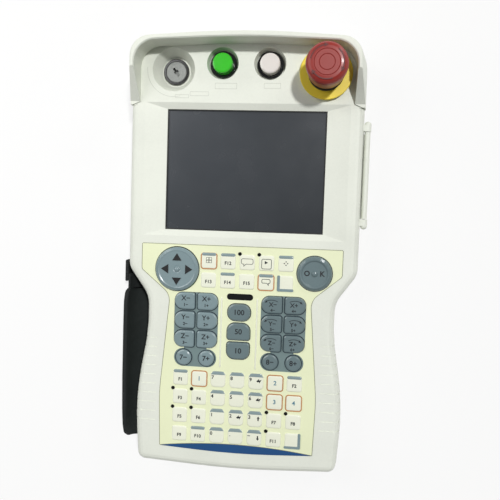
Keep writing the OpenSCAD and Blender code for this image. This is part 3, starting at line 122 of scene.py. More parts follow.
# %% Value: a socket that takes part in formulas
class Value:
    def __init__(self, finish, socket):
        self.finish = finish
        self.socket = socket

    def math(self, operation, *others):
        terms = dict(enumerate((self, *others)))
        made = self.finish.node("ShaderNodeMath", {"operation": operation}, terms)
        return Value(self.finish, made.outputs[0])

    def __add__(self, other):
        return self.math("ADD", other)

    def __sub__(self, other):
        return self.math("SUBTRACT", other)

    def __rsub__(self, other):
        return self * -1 + other

    def __mul__(self, other):
        return self.math("MULTIPLY", other)

    __radd__ = __add__
    __rmul__ = __mul__

    def band(self, low, high):
        """0 below low, 1 above high, smooth between."""
        made = self.finish.node("ShaderNodeMapRange", {"interpolation_type": "SMOOTHSTEP"},
                                {"Value": self, "From Min": low, "From Max": high})
        return Value(self.finish, made.outputs["Result"])

    def wave(self, pitch):
        """A wave from -1 to 1 that repeats every pitch."""
        return (self * (math.tau / pitch)).math("SINE")


# %% Finish: a material in the making
class Finish:
    def __init__(self, name, colour, roughness, metallic=0.0, coat=0.0, specular=0.5):
        self.material = bpy.data.materials.new(name)
        self.material.use_nodes = True
        self.tree = self.material.node_tree
        self.shader = self.tree.nodes["Principled BSDF"]
        self.shader.inputs["Base Color"].default_value = colour
        self.shader.inputs["Roughness"].default_value = roughness
        self.shader.inputs["Metallic"].default_value = metallic
        self.shader.inputs["Coat Weight"].default_value = coat
        self.shader.inputs["Coat Roughness"].default_value = 0.12
        self.shader.inputs["Specular IOR Level"].default_value = specular
        self.place = self.node("ShaderNodeTexCoord").outputs["Object"]

    def node(self, kind, settings=(), inputs=()):
        """Any node. settings are set first; an input takes a number, a colour, a socket or a Value."""
        made = self.tree.nodes.new(kind)
        for key, value in dict(settings).items():
            setattr(made, key, value)
        for key, value in dict(inputs).items():
            if isinstance(value, Value):
                value = value.socket
            if isinstance(value, bpy.types.NodeSocket):
                self.tree.links.new(value, made.inputs[key])
            else:
                made.inputs[key].default_value = value
        return made

    def noise(self, size, detail=2.0, where=None):
        """Cloudy noise, about 0 to 1, whose blotches are size metres across."""
        inputs = {"Vector": where or self.place, "Scale": 1 / size, "Detail": detail}
        return Value(self, self.node("ShaderNodeTexNoise", {}, inputs).outputs["Fac"])

    def axes(self, vector):
        """The X, Y and Z of a vector, ready for formulas."""
        split = self.node("ShaderNodeSeparateXYZ", {}, {"Vector": vector})
        return [Value(self, socket) for socket in split.outputs]

    def mix(self, factor, first, second):
        """Blends two colours, which are inputs 6 and 7 of a Mix node for colours."""
        return self.node("ShaderNodeMix", {"data_type": "RGBA"}, {0: factor, 6: first, 7: second}).outputs[2]

    def paint(self, socket):
        self.tree.links.new(socket, self.shader.inputs["Base Color"])

    def gloss(self, value):
        self.tree.links.new(value.socket, self.shader.inputs["Roughness"])

    def relief(self, height, distance, strength=1.0):
        """Fine unevenness: height is a Value, and distance is its depth in metres."""
        bump = self.node("ShaderNodeBump", {}, {"Height": height, "Distance": distance, "Strength": strength})
        self.tree.links.new(bump.outputs["Normal"], self.shader.inputs["Normal"])


# %% Colours
def tone(red, green, blue):
    """A colour given as on a paint card, 0 to 255, in the renderer's linear values."""
    def linear(v):
        return v / 255 / 12.92 if v <= 10 else ((v / 255 + 0.055) / 1.055) ** 2.4

    return linear(red), linear(green), linear(blue), 1.0


def shade(colour, factor, lift=0.0):
    """The same colour made darker or lighter."""
    return (*(min(1.0, v * factor + lift) for v in colour[:3]), 1.0)


print("a card's middle grey in linear light:", round(tone(128, 128, 128)[0], 3))


# %% [markdown]
# ## Finishes
# The casing is moulded with an eroded texture: very fine grain that keeps fingers from slipping and
# makes highlights soft. Handled plastic is never one flat colour, so a slow cloud changes the shade a
# little, and another changes the gloss where hands have polished it. One function makes all the
# plastics, because they differ only in these numbers.


# %% Moulded plastics
def moulded(name, colour, roughness, grain, depth, cloud, coat=0.0):
    """Plastic from a textured mould. grain is the size of its texture and depth its height, in metres."""
    finish = Finish(name, colour, roughness, coat=coat)
    slow = finish.noise(0.035, 3.0)
    fine = finish.noise(0.0016, 3.0)
    darker = shade(colour, 1 - 2.2 * cloud)
    finish.paint(finish.mix((slow * 0.7 + fine * 0.3).band(0.35, 0.75), colour, darker))
    finish.gloss(finish.noise(0.018) * 0.16 + (roughness - 0.08))
    finish.relief(finish.noise(grain, 2.0), depth)
    return finish


casing = moulded("casing_plastic", tone(236, 239, 227), 0.5, 0.00045, 0.00005, 0.03)
rear_casing = moulded("rear_casing_plastic", tone(230, 233, 221), 0.52, 0.00045, 0.00006, 0.035)
film = moulded("cream_film", tone(243, 248, 208), 0.42, 0.0003, 0.00002, 0.02, coat=0.15)
key_film = moulded("pale_key_film", tone(246, 248, 228), 0.4, 0.0003, 0.00002, 0.02, coat=0.2)
slate = moulded("slate_key_plastic", tone(136, 156, 160), 0.26, 0.0005, 0.00002, 0.04, coat=0.6)
# A darker copy of the slate plastic, painted shade for the keys on the right-hand side.
slate_painted_shade = moulded("slate_plastic_painted_shade", tone(113, 131, 134), 0.24, 0.0005, 0.00002, 0.04, coat=0.8)
slate_plate = moulded("slate_plate_plastic", tone(122, 142, 142), 0.4, 0.0004, 0.00003, 0.05, coat=0.2)
black = moulded("black_plastic", tone(34, 34, 36), 0.35, 0.0004, 0.00003, 0.08, coat=0.3)
gloss_black = moulded("gloss_black_plastic", tone(14, 15, 16), 0.14, 0.0006, 0.000005, 0.05, coat=1.0)
rubber = moulded("black_rubber", tone(30, 30, 31), 0.7, 0.0005, 0.00005, 0.08)
red = moulded("red_plastic", tone(154, 46, 38), 0.4, 0.0005, 0.00004, 0.05, coat=0.1)
deep_red = moulded("deep_red_plastic", tone(96, 26, 24), 0.45, 0.0005, 0.00002, 0.05)
yellow = moulded("yellow_plastic", tone(255, 228, 66), 0.38, 0.0005, 0.00002, 0.03, coat=0.25)
green = moulded("green_lens", tone(62, 206, 44), 0.22, 0.0008, 0.00001, 0.05, coat=0.6)
white_lens = moulded("white_lens", tone(240, 234, 228), 0.2, 0.0008, 0.00001, 0.02, coat=0.6)
blue = moulded("blue_film", tone(36, 82, 134), 0.35, 0.0004, 0.00001, 0.04, coat=0.3)
bezel = moulded("dark_bezel", tone(20, 21, 22), 0.5, 0.0004, 0.00003, 0.08)
ink = moulded("dark_ink", tone(26, 32, 36), 0.5, 0.0003, 0.00001, 0.05)
blue_ink = moulded("blue_ink", tone(72, 128, 150), 0.5, 0.0003, 0.00001, 0.05)
orange_ink = moulded("orange_ink", tone(198, 138, 86), 0.5, 0.0003, 0.00001, 0.06)
olive_ink = moulded("olive_ink", tone(142, 144, 116), 0.5, 0.0003, 0.00001, 0.06)
pale_ink = moulded("pale_ink", tone(205, 208, 196), 0.5, 0.0003, 0.00001, 0.04)
# The dark of the gaps round the keys, which is painted shade.
gap_painted_shade = moulded("gap_painted_shade", tone(26, 46, 58), 0.6, 0.0003, 0.00001, 0.06)
tab_grey = moulded("tab_plastic", tone(148, 166, 168), 0.2, 0.0005, 0.00001, 0.04, coat=1.0)
print("plastics made:", len(bpy.data.materials))

# %% [markdown]
# The screen is off. What shows is a touch film over dark glass, nearly black. On it lies a painted reflection
# of the room: a soft haze, brighter towards its left and upper sides, which a slanting ramp gives.

# %% Screen glass
screen = Finish("screen_glass", tone(58, 61, 66), 0.3, coat=0.7)
painted_reflection_haze = screen.noise(0.05, 1.0)
x, y, _ = screen.axes(screen.place)
painted_reflection_ramp = (y - x).band(-0.09, 0.17)
# The base colour carries the painted reflection: it is lighter where the haze and the ramp are high.
screen.paint(screen.mix(painted_reflection_haze * 0.35 + painted_reflection_ramp * 0.8, tone(38, 42, 46), tone(68, 72, 77)))
screen.gloss(screen.noise(0.02, 2.0) * 0.12 + 0.2)
screen.relief(screen.noise(0.0006), 0.000003)
print("glass nodes:", len(screen.tree.nodes))

# %% [markdown]
# Metal needs its own look. Drawn or rolled metal has streaks, which are noise stretched one way. The
# lock's face is turned steel, so its gloss changes in fine rings round its middle.


# %% Metal
def metal(name, colour, roughness, streak):
    """Worked metal: fine streaks of changing gloss and a slight unevenness of colour."""
    finish = Finish(name, colour, roughness, metallic=1.0)
    stretched = finish.node("ShaderNodeMapping", {}, {"Vector": finish.place, "Scale": streak})
    lines = finish.noise(0.0012, 4.0, stretched.outputs["Vector"])
    finish.gloss(lines * 0.3 + (roughness - 0.15))
    finish.paint(finish.mix(finish.noise(0.006), colour, shade(colour, 0.8)))
    finish.relief(lines, 0.00001)
    return finish


def turned_metal(name, centre):
    """A turned face: rings of gloss round its centre."""
    finish = Finish(name, tone(176, 179, 178), 0.4, metallic=0.55)
    moved = finish.node("ShaderNodeMapping", {}, {"Vector": finish.place, "Location": -centre})
    x, y, _ = finish.axes(moved.outputs["Vector"])
    rings = (x * x + y * y).math("SQRT").wave(0.0007)
    finish.gloss(rings * 0.05 + finish.noise(0.0007) * 0.2 + 0.26)
    finish.paint(finish.mix(finish.noise(0.0009, 3.0), tone(166, 168, 164), tone(124, 127, 125)))
    finish.relief(rings * 0.4 + finish.noise(0.0004), 0.00001)
    return finish


steel = metal("steel", tone(196, 198, 199), 0.34, (1, 1, 0.2))
sheet_metal = metal("sheet_metal", tone(205, 207, 210), 0.42, (0.1, 1, 1))
lock_low, lock_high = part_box("mode_lock")
lock_steel = turned_metal("lock_steel", (lock_low + lock_high) / 2)
print("lock's centre in mm:", [round(v / MM, 1) for v in (lock_low + lock_high) / 2])

# %% [markdown]
# The boards stay inside, yet they are seen when the casing is taken off. Noise cut by a narrow band
# gives patches of copper under green lacquer.

# %% Circuit board
board = Finish("circuit_board", tone(28, 98, 58), 0.4)
tracks = board.noise(0.004, 6.0)
board.paint(board.mix(tracks.band(0.48, 0.52), tone(24, 88, 50), tone(44, 120, 72)))
board.relief(tracks, 0.00003)
print("board nodes:", len(board.tree.nodes))

# %% [markdown]
# ## Giving each rigid part its finish
# The parts share few finishes, so one table says which goes where. Keys that aren't in the table are
# slate plastic; from the speed keys to the right they take a darker copy of it, which is painted shade.

# %% Assign finishes
FINISHES = {
    casing: ["front_case", "top_guard", "card_door"],
    rear_casing: ["rear_case"],
    film: ["keypad_film"],
    blue: ["trim_band"],
    slate_plate: ["jog_plate_left", "jog_plate_right"],
    screen: ["touch_panel"],
    bezel: ["screen_gasket", "case_seal", "lcd_module"],
    board: ["main_board", "keypad_board"],
    sheet_metal: ["lcd_bracket"],
    steel: ["case_screws", "inner_screws", "switch_nuts", "estop_nut", "door_hinge_pin",
            "enable_lever_pin", "cursor_ball"],
    lock_steel: ["mode_lock"],
    gloss_black: ["mode_switch_body", "start_switch_body", "hold_switch_body"],
    black: ["card_socket", "estop_body", "enable_switch_body", "enable_lever", "strap_anchors"],
    rubber: ["cable_inlet"],
    red: ["estop_head", "estop_shaft"],
    yellow: ["estop_plate"],
    green: ["start_button"],
    white_lens: ["hold_button"],
}
finish_of = {name: finish for finish, names in FINISHES.items() for name in names}
# Keys whose names start so get the darker slate, which is painted shade.
painted_shade_keys = ("turn_", "axis_8", "speed_key", "select_key")
for name, part in nodes.items():
    key_plastic = slate_painted_shade if name.startswith(painted_shade_keys) else slate
    part.data.materials.clear()
    part.data.materials.append(finish_of.get(name, key_plastic).material)
print("parts finished:", len(nodes))

# %% [markdown]
# ## Helpers for small flat things
# Legends, frames and lines are a film of ink a few hundredths of a millimetre thick, so each one is a
# thin plate with a real edge. A plate starts as one face with rounded corners and is extruded. A line
# is the rim that an inset leaves, once the face inside it is deleted.


# %% Outlines
def rounded(corners, step=15):
    """Points of a closed outline in millimetres. Each corner is (x, y, radius), anticlockwise."""
    points = []
    for i, (x, y, r) in enumerate(corners):
        before, after = corners[i - 1], corners[(i + 1) % len(corners)]
        here = Vector((x, y))
        back = (Vector(before[:2]) - here).normalized()
        ahead = (Vector(after[:2]) - here).normalized()
        if r == 0:
            points.append(here)
            continue
        half = back.angle(ahead) / 2
        centre = here + (back + ahead).normalized() * r / math.sin(half)
        start = here + back * r / math.tan(half) - centre
        turn = math.copysign(math.pi - 2 * half, back.y * ahead.x - back.x * ahead.y)
        count = max(1, math.ceil(abs(math.degrees(turn)) / step))
        for k in range(count + 1):
            points.append(centre + Matrix.Rotation(turn * k / count, 2) @ start)
    return points


def box_outline(x, y, w, h, r, upper_r=None):
    """A box with round corners about a middle point. Its upper corners may have their own radius."""
    top_r = r if upper_r is None else upper_r
    return rounded([(x - w / 2, y - h / 2, r), (x + w / 2, y - h / 2, r),
                    (x + w / 2, y + h / 2, top_r), (x - w / 2, y + h / 2, top_r)])


def on_circle(x, y, radius, angles):
    """Points on a circle at those angles, in radians."""
    return [(x + radius * math.cos(a), y + radius * math.sin(a)) for a in angles]


print("points of a square with round corners:", len(box_outline(0, 0, 10, 10, 2)))


# %% Plates and lines
def flat_face(bm, points, z):
    face = bm.faces.new([bm.verts.new((p[0], p[1], z)) for p in points])
    face.normal_update()
    return face


def inset(bm, face, width):
    """Insets a face and returns the rim that this leaves. A negative width grows the face."""
    return bmesh.ops.inset_region(bm, faces=[face], thickness=width, use_even_offset=True,
                                  use_boundary=True)["faces"]


def raise_faces(bm, faces, height):
    """Turns flat faces into closed plates of that height, and returns their new faces."""
    made = bmesh.ops.extrude_face_region(bm, geom=faces)["geom"]
    top = [e for e in made if isinstance(e, bmesh.types.BMVert)]
    bmesh.ops.translate(bm, verts=top, vec=(0, 0, height))
    return [e for e in made if isinstance(e, bmesh.types.BMFace)]


def add_plate(bm, points, z, height):
    raise_faces(bm, [flat_face(bm, points, z)], height)


def add_line(bm, points, width, z, height):
    """A closed line of that width, inside the outline."""
    face = flat_face(bm, points, z)
    rim = inset(bm, face, width)
    bmesh.ops.delete(bm, geom=[face], context="FACES_ONLY")
    raise_faces(bm, rim, height)


def add_border(bm, points, gap, width, z, height):
    """A closed line of that width round the outline, a gap outside it."""
    face = flat_face(bm, points, z)
    waste = [face, *inset(bm, face, -gap)]
    rim = inset(bm, face, -width)
    bmesh.ops.delete(bm, geom=waste, context="FACES")
    raise_faces(bm, rim, height)


def add_dome(bm, points, foot, profile):
    """profile holds (way inwards, height above the foot) for each ring of the dome."""
    top = flat_face(bm, points, foot)
    for inward, height in profile:
        inset(bm, top, inward)
        for v in top.verts:
            v.co.z = foot + height


def add_disc(bm, x, y, z, radius, height, segments=24):
    angles = [math.tau * i / segments for i in range(segments)]
    add_plate(bm, on_circle(x, y, radius, angles), z, height)


def add_arc(bm, x, y, z, radius, width, first, last, height, segments=20):
    """Part of a ring, from the angle first to the angle last, in degrees."""
    angles = [math.radians(first + (last - first) * i / segments) for i in range(segments + 1)]
    outer = on_circle(x, y, radius + width / 2, angles)
    inner = on_circle(x, y, radius - width / 2, angles)
    add_plate(bm, outer + inner[::-1], z, height)


# %% [markdown]
# Each piece ends in the same way, so one function does it. A mesh has its place in its points, which
# leaves its object at the origin, and a piece rides on the body of the rigid part that it sits on.


# %% Ending a piece
def piece(name, bm, finish, body, smooth=False):
    """Ends a piece: millimetres become metres, its faces point outwards and it rides on its body."""
    bmesh.ops.scale(bm, vec=(MM, MM, MM), verts=bm.verts)
    bmesh.ops.recalc_face_normals(bm, faces=bm.faces)
    if smooth:
        for face in bm.faces:
            face.smooth = True
    mesh = bpy.data.meshes.new(name)
    bm.to_mesh(mesh)
    bm.free()
    mesh.materials.append(finish.material)
    made = add_object(name, mesh)
    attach(made, body)
    print(name, "has", len(mesh.polygons), "faces and rides on", body)
    return made


# %% [markdown]
# Some lines follow a rigid part, such as the edge of the film. Its outline isn't typed again: a plane
# cuts a copy of the part, and a walk along the cut gives the outline. The part's triangles are loose,
# so the copy is merged first.


# %% Outline of a rigid part
def joined_copy(name):
    """A rigid part in millimetres, its loose triangles merged."""
    bm = bmesh.new()
    bm.from_mesh(nodes[name].data)
    bmesh.ops.scale(bm, vec=(1 / MM, 1 / MM, 1 / MM), verts=bm.verts)
    bmesh.ops.remove_doubles(bm, verts=bm.verts, dist=0.0005)
    return bm


def cut_level(bm, z, keep_below):
    """Cuts at height z and deletes what is above. What is below is kept only where that is asked."""
    bmesh.ops.bisect_plane(bm, geom=bm.verts[:] + bm.edges[:] + bm.faces[:], plane_co=(0, 0, z),
                           plane_no=(0, 0, 1), clear_inner=not keep_below, clear_outer=True)


def area(loop):
    """The area inside a loop of points, positive when it runs anticlockwise."""
    return sum(a.cross(b) for a, b in zip(loop, loop[1:] + loop[:1])) / 2


def section(name, z):
    """The outer outline of a rigid part at height z, anticlockwise, in millimetres."""
    bm = joined_copy(name)
    cut_level(bm, z, keep_below=False)
    bmesh.ops.remove_doubles(bm, verts=bm.verts, dist=0.002)
    loops, left = [], set(bm.verts)
    for start in bm.verts:
        here, loop = start if start in left else None, []
        while here:
            left.discard(here)
            loop.append(here.co.xy)
            onward = [e.other_vert(here) for e in here.link_edges if e.other_vert(here) in left]
            here = onward[0] if onward else None
        if loop:
            loops.append(loop)
    bm.free()
    largest = max(loops, key=lambda loop: abs(area(loop)))
    return largest if area(largest) > 0 else largest[::-1]


# %% [markdown]
# Numbers are printed in a plain upright face. A text curve has the shapes, so it is made a mesh and
# then laid in its place. Its strokes are widened a little, because printed ink is bolder.


# %% Lettering
def add_text(bm, words, x, y, z, size, height, bold=0.1):
    """Plain numbers and signs, centred on a point. bold widens their strokes, in millimetres."""
    curve = bpy.data.curves.new("lettering", "FONT")
    curve.body = words.replace("-", "\u2212")
    curve.offset = bold
    curve.size = size
    curve.extrude = height / 2
    curve.resolution_u = 3
    curve.align_x = "CENTER"
    curve.align_y = "CENTER"
    holder = bpy.data.objects.new("lettering", curve)
    mesh = bpy.data.meshes.new_from_object(holder)
    letters = bmesh.new()
    letters.from_mesh(mesh)
    bmesh.ops.remove_doubles(letters, verts=letters.verts, dist=0.0005)
    bmesh.ops.translate(letters, verts=letters.verts, vec=(x, y, z + height / 2))
    letters.to_mesh(mesh)
    letters.free()
    bm.from_mesh(mesh)
    bpy.data.objects.remove(holder)
    bpy.data.curves.remove(curve)
    bpy.data.meshes.remove(mesh)


# %% [markdown]
# ## Where things are
# Places come from the rigid parts. The square keys stand on a grid of 14 mm, whose middle column is
# the pendant's centre line. Its first row is found from the rounded keys above it, and the two upper
# rows stand a little to the right.


# %% Places
def mm_box(name):
    low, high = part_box(name)
    return low / MM, high / MM


def middle(name):
    low, high = mm_box(name)
    return (low + high) / 2


PITCH = 14.0  # from key to key
KEY_SIDE = 11.2
RIGID_KEY_RISE = 0.5  # of the rigid film's own keys, over its face
INK = 0.07  # thickness of what is printed
SUNK = 0.02  # how deep flat things are let into the film
panel_z = mm_box("keypad_film")[1].z - RIGID_KEY_RISE
row_y = middle("axis_8_minus").y - 15.4
upper_row_y = row_y + 87.3
UPPER_COLUMN_X = 4.8  # of the middle column of the upper rows
print("panel at", round(panel_z, 2), "first number row at", round(row_y, 2))


def lower_key(column, row):
    """Middle of a square key: columns 0 to 6 from the left, rows 0 to 3 from the top."""
    return (column - 3) * PITCH, row_y - row * PITCH


def upper_key(column, row):
    """Middle of a square key over the jog keys: columns 0 to 4, rows 0 and 1."""
    return UPPER_COLUMN_X + (column - 2) * PITCH, upper_row_y - row * PITCH


all_square_keys = [lower_key(c, r) for r in range(4) for c in range(7)]
all_square_keys += [upper_key(c, r) for r in range(2) for c in range(5)]

# %% [markdown]
# ## The film and its pillows
# Under the cream film sit square snap domes, and the film is thermoformed over them into low pillows:
# soft at the foot, a little crowned on top. The rigid film has plain raised squares instead, so a copy
# of it is cut off just above its face and closed again, and shaped pillows go on it.

# %% Flat film
sheet_bm = joined_copy("keypad_film")
cut_level(sheet_bm, panel_z + 0.02, keep_below=True)
bmesh.ops.holes_fill(sheet_bm, edges=[e for e in sheet_bm.edges if e.is_boundary])
print("open edges of the film:", sum(e.is_boundary for e in sheet_bm.edges))
sheet = piece("film_sheet", sheet_bm, film, "housing")
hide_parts("keypad_film")

# %% [markdown]
# A pillow could be a bevelled box, but a bevel has one round edge, and formed film has a tight foot
# and a wide crown. So each pillow is one face, inset and raised several times. The number keys are
# rounder at their lower corners. Two low ridges run down beside the speed keys.

# %% Film keys
KEY_RISE = 0.62
PILLOW = [(0.08, 0.1), (0.16, 0.34), (0.22, 0.5), (0.3, 0.58), (0.6, KEY_RISE)]
number_keys = [lower_key(c, r) for r in range(4) for c in (2, 3, 4)]
pillows = bmesh.new()
for x, y in all_square_keys:
    lower_r = 3.0 if (x, y) in number_keys else 1.8
    add_dome(pillows, box_outline(x, y, KEY_SIDE, KEY_SIDE, lower_r, 1.8), panel_z, PILLOW)
for side in (-1, 1):
    ridge = box_outline(side * 13.0, row_y + 35.2, 1.3, 52, 0.6)
    add_dome(pillows, ridge, panel_z, [(0.1, 0.2), (0.2, 0.42), (0.2, 0.48)])
piece("film_key_pillows", pillows, key_film, "housing", smooth=True)

# %% [markdown]
# The film lies in a recess of the casing, and the narrow gap round it shows as a thin olive line.

# %% Edge of the film
edge_line = bmesh.new()
add_line(edge_line, section("keypad_film", panel_z - 0.2), 0.34, panel_z - SUNK, 0.05)
piece("film_edge_line", edge_line, olive_ink, "housing")

# %% [markdown]
# ## What is printed on the film
# Framed keys have an orange line, some keys a small round lamp window at the upper left corner, and
# many a glossy tab along the upper edge. The words are left off; plain numbers stand there.

# %% Frames and lamp windows
key_top = panel_z + KEY_RISE
framed = [lower_key(1, 0), lower_key(5, 0), lower_key(5, 1), lower_key(6, 1), upper_key(0, 0),
          upper_key(3, 1)]
frames = bmesh.new()
for x, y in framed:
    add_line(frames, box_outline(x, y, KEY_SIDE + 1, KEY_SIDE + 1, 2.3), 0.75, panel_z - SUNK, 0.45)
piece("key_frames", frames, orange_ink, "housing")

lamps_at = [lower_key(0, 1), lower_key(1, 1), lower_key(0, 2), lower_key(1, 2), lower_key(5, 2),
            lower_key(6, 2), lower_key(5, 3), upper_key(2, 0), upper_key(3, 0)]
lamps = bmesh.new()
for x, y in lamps_at:
    add_disc(lamps, x - 5.5, y + 6.0, panel_z - SUNK, 1.35, 0.5)
piece("lamp_windows", lamps, gloss_black, "housing")

# %% [markdown]
# The tabs are drops of clear lacquer over slate ink. On the function keys they are bars with round
# ends, made like the pillows. On the number keys they are crescents with a straight lower edge. The
# rings of an inset would cross at the sharp ends, so the face is extruded, freed of the copy left
# under it, and shrunk, three times over.


# %% Glossy tabs
def add_tab(bm, x, y, w, h):
    """A low dome with round ends, whose foot is hidden in the key."""
    outline = box_outline(x, y, w, h, h / 2 - 0.02)
    add_dome(bm, outline, key_top - 0.4, [(0.02, 0.4), (0.18, 0.58), (0.3, 0.66)])


def add_crescent(bm, x, y, w, h):
    """A dome with a straight lower edge and a curved upper edge, whose rings shrink upwards."""
    outline = rounded([(x - w / 2, y - h / 2, 0.15), (x + w / 2, y - h / 2, 0.15),
                       (x + w / 2 - 1.5, y + h / 2, 1.5), (x - w / 2 + 1.5, y + h / 2, 1.5)])
    to_middle = Matrix.Translation((-x, -y, 0))
    size, z = 1, -0.5
    top = flat_face(bm, outline, key_top + z)
    for new_size, new_z in ((0.98, 0.04), (0.93, 0.16), (0.8, 0.24)):
        made = raise_faces(bm, [top], new_z - z)
        bmesh.ops.delete(bm, geom=[top], context="FACES_ONLY")
        top = next(f for f in made if len(f.verts) == len(outline))
        shrink = new_size / size
        bmesh.ops.scale(bm, vec=(shrink, shrink, 1), space=to_middle, verts=top.verts[:])
        size, z = new_size, new_z


tabs = bmesh.new()
tabbed = [lower_key(0, 0), lower_key(6, 0), lower_key(1, 3), upper_key(0, 0), upper_key(1, 0),
          upper_key(4, 0), upper_key(1, 1), upper_key(3, 1)]
for x, y in tabbed:
    add_tab(tabs, x, y + 4.9, 10.4, 2.3)
for x, y in number_keys:
    add_crescent(tabs, x, y + 5.0, 10.9, 2.5)
piece("key_tabs", tabs, tab_grey, "housing", smooth=True)

# %% [markdown]
# ## Numbers and signs on the film keys
# The number block reads 7 8 9 over 4 5 6 over 1 2 3 over 0 . -, each at its key's upper left. The
# function keys carry plain function numbers, in blue on the framed keys.

# %% Number block
numbers = bmesh.new()
for row, digits in enumerate(["789", "456", "123", "0.-"]):
    for column, digit in enumerate(digits):
        x, y = lower_key(2 + column, row)
        add_text(numbers, digit, x - 3.9, y + 1.6, key_top, 3.6, INK)
labels = {lower_key(0, 0): "F1", lower_key(6, 0): "F2", lower_key(0, 1): "F3", lower_key(1, 1): "F4",
          lower_key(0, 2): "F5", lower_key(1, 2): "F6", lower_key(5, 2): "F7", lower_key(6, 2): "F8",
          lower_key(0, 3): "F9", lower_key(1, 3): "F10", lower_key(5, 3): "F11", upper_key(1, 0): "F12",
          upper_key(0, 1): "F13", upper_key(1, 1): "F14", upper_key(2, 1): "F15"}
for (x, y), words in labels.items():
    add_text(numbers, words, x, y - 1.2, key_top, 3.4, INK)
print("printed keys:", len(number_keys) + len(labels))

blue_numbers = bmesh.new()
for number, (x, y) in enumerate((lower_key(1, 0), lower_key(5, 0), lower_key(5, 1), lower_key(6, 1)), 1):
    add_text(blue_numbers, str(number), x, y, key_top, 4.4, INK)
piece("blue_numbers", blue_numbers, blue_ink, "housing")

# %% [markdown]
# Some keys have a sign instead of a word: arrows, bolts, a window of four panes, two balloons and a
# triangle in a frame. They are drawn from a few points each, because they are only lines and
# triangles.


# %% Signs
def add_sign(x, y, points):
    """A filled sign. Its points are given from (x, y)."""
    add_plate(numbers, [(x + px, y + py) for px, py in points], key_top, INK)


def add_sign_line(x, y, corners, width):
    """A closed line through corners (x, y, radius) that are given from (x, y)."""
    moved = [(x + cx, y + cy, r) for cx, cy, r in corners]
    add_line(numbers, rounded(moved), width, key_top, INK)


def arrow(up):
    s = 1 if up else -1
    return [(-0.45, -1.6 * s), (0.45, -1.6 * s), (0.45, 0.3 * s), (1.15, 0.3 * s), (0, 1.8 * s),
            (-1.15, 0.3 * s), (-0.45, 0.3 * s)]


x, y = lower_key(4, 2)
add_sign(x + 2.6, y + 0.8, arrow(True))
x, y = lower_key(4, 3)
add_sign(x + 2.6, y + 0.4, arrow(False))
bolt = [(-1.9, 0.1), (0.2, 2.0), (0.0, 0.7), (1.9, 1.4), (0.3, -1.6), (0.4, -0.3), (-1.0, -0.6)]
for x, y in (lower_key(4, 0), lower_key(4, 1), lower_key(3, 2)):
    add_sign(x + 2.2, y + 0.6, bolt)

x, y = upper_key(0, 0)
for dx in (-1.05, 1.05):
    for dy in (-1.05, 1.05):
        add_line(numbers, box_outline(x + dx, y + 0.6 + dy, 2.0, 2.0, 0.1), 0.25, key_top, INK)
balloon = [(-4.4, -1.4, 1.2), (-2.6, -1.4, 0), (-2.6, -3.2, 0), (-0.8, -1.4, 0), (4.4, -1.4, 1.2),
           (4.4, 2.8, 1.2), (-4.4, 2.8, 1.2)]
add_sign_line(*upper_key(2, 0), balloon, 0.35)
x, y = upper_key(3, 0)
add_line(numbers, box_outline(x, y - 0.6, 7.4, 7.4, 1.2), 0.4, key_top, INK)
add_sign(x - 0.2, y + 0.4, [(-1.1, -1.2), (1.3, 0), (-1.1, 1.2)])
x, y = upper_key(4, 0)
for dx, dy in ((-1.2, 0), (1.2, 0), (0, -1.2), (0, 1.2)):
    add_sign(x + dx, y + 0.4 + dy, [(-0.55, 0), (0, -0.55), (0.55, 0), (0, 0.55)])
small_balloon = [(-3.2, -0.6, 1.0), (0.6, -0.6, 0), (2.0, -2.4, 0), (2.0, -0.6, 0), (3.2, -0.6, 1.0),
                 (3.2, 2.6, 1.2), (-3.2, 2.6, 1.2)]
add_sign_line(*upper_key(3, 1), small_balloon, 0.4)
piece("key_numbers", numbers, ink, "housing")

# %% [markdown]
# Two corner keys have an L-shaped slate strip along two edges, one the mirror of the other, and a
# black label sits above the speed keys.

# %% Corner strips and the label
ELL = [(-5.9, -5.9, 0.7), (-5.9, -4.0, 0.7), (3.9, -4.0, 0.3), (3.9, 5.6, 0.7), (5.9, 5.6, 0.7),
       (5.9, -5.9, 0.9)]
corner_strips = bmesh.new()
for (x, y), side in ((upper_key(4, 1), -1), (lower_key(6, 3), 1)):
    corners = [(x + side * cx, y + cy, r) for cx, cy, r in ELL]
    add_plate(corner_strips, rounded(corners[::-side]), key_top - 0.4, 0.48)
piece("corner_strips", corner_strips, slate, "housing")

label = bmesh.new()
add_plate(label, box_outline(0.3, row_y + 61.9, 19.2, 4.6, 2.2), panel_z - SUNK, 0.1)
piece("black_label", label, gloss_black, "housing")

# %% [markdown]
# Round every pressing key runs a thin dark rim, just outside it, as high as the plate or the film: painted
# shade for the gap where the key sits. The cursor key has none, because it tilts and needs the room.

# %% Painted shade in the gaps round the keys
painted_gap_shade = bmesh.new()
plate_top = mm_box("jog_plate_left")[1].z
on_plates = ("jog_x", "jog_y", "jog_z", "jog_e", "turn_", "axis_8")
for name in [name for name in nodes if name.startswith(on_plates)]:
    outline = section(name, plate_top + 0.05)
    add_border(painted_gap_shade, outline, 0.06, 0.5, panel_z - SUNK, plate_top - panel_z + 0.05)
for name in ("select_key", "speed_key_upper", "speed_key_middle", "speed_key_lower"):
    add_border(painted_gap_shade, section(name, panel_z + 0.05), 0.12, 0.4, panel_z - SUNK, 0.05)
piece("key_gap_painted_shade", painted_gap_shade, gap_painted_shade, "housing")

# %% [markdown]
# ## Legends on the moving keys
# Each jog key moves by itself, so its legend is a piece that rides on that key. The left block moves
# along an axis and says so with a letter and a sign; the right block turns about it and has a
# curved arrow above. The rounded keys have plain numbers.


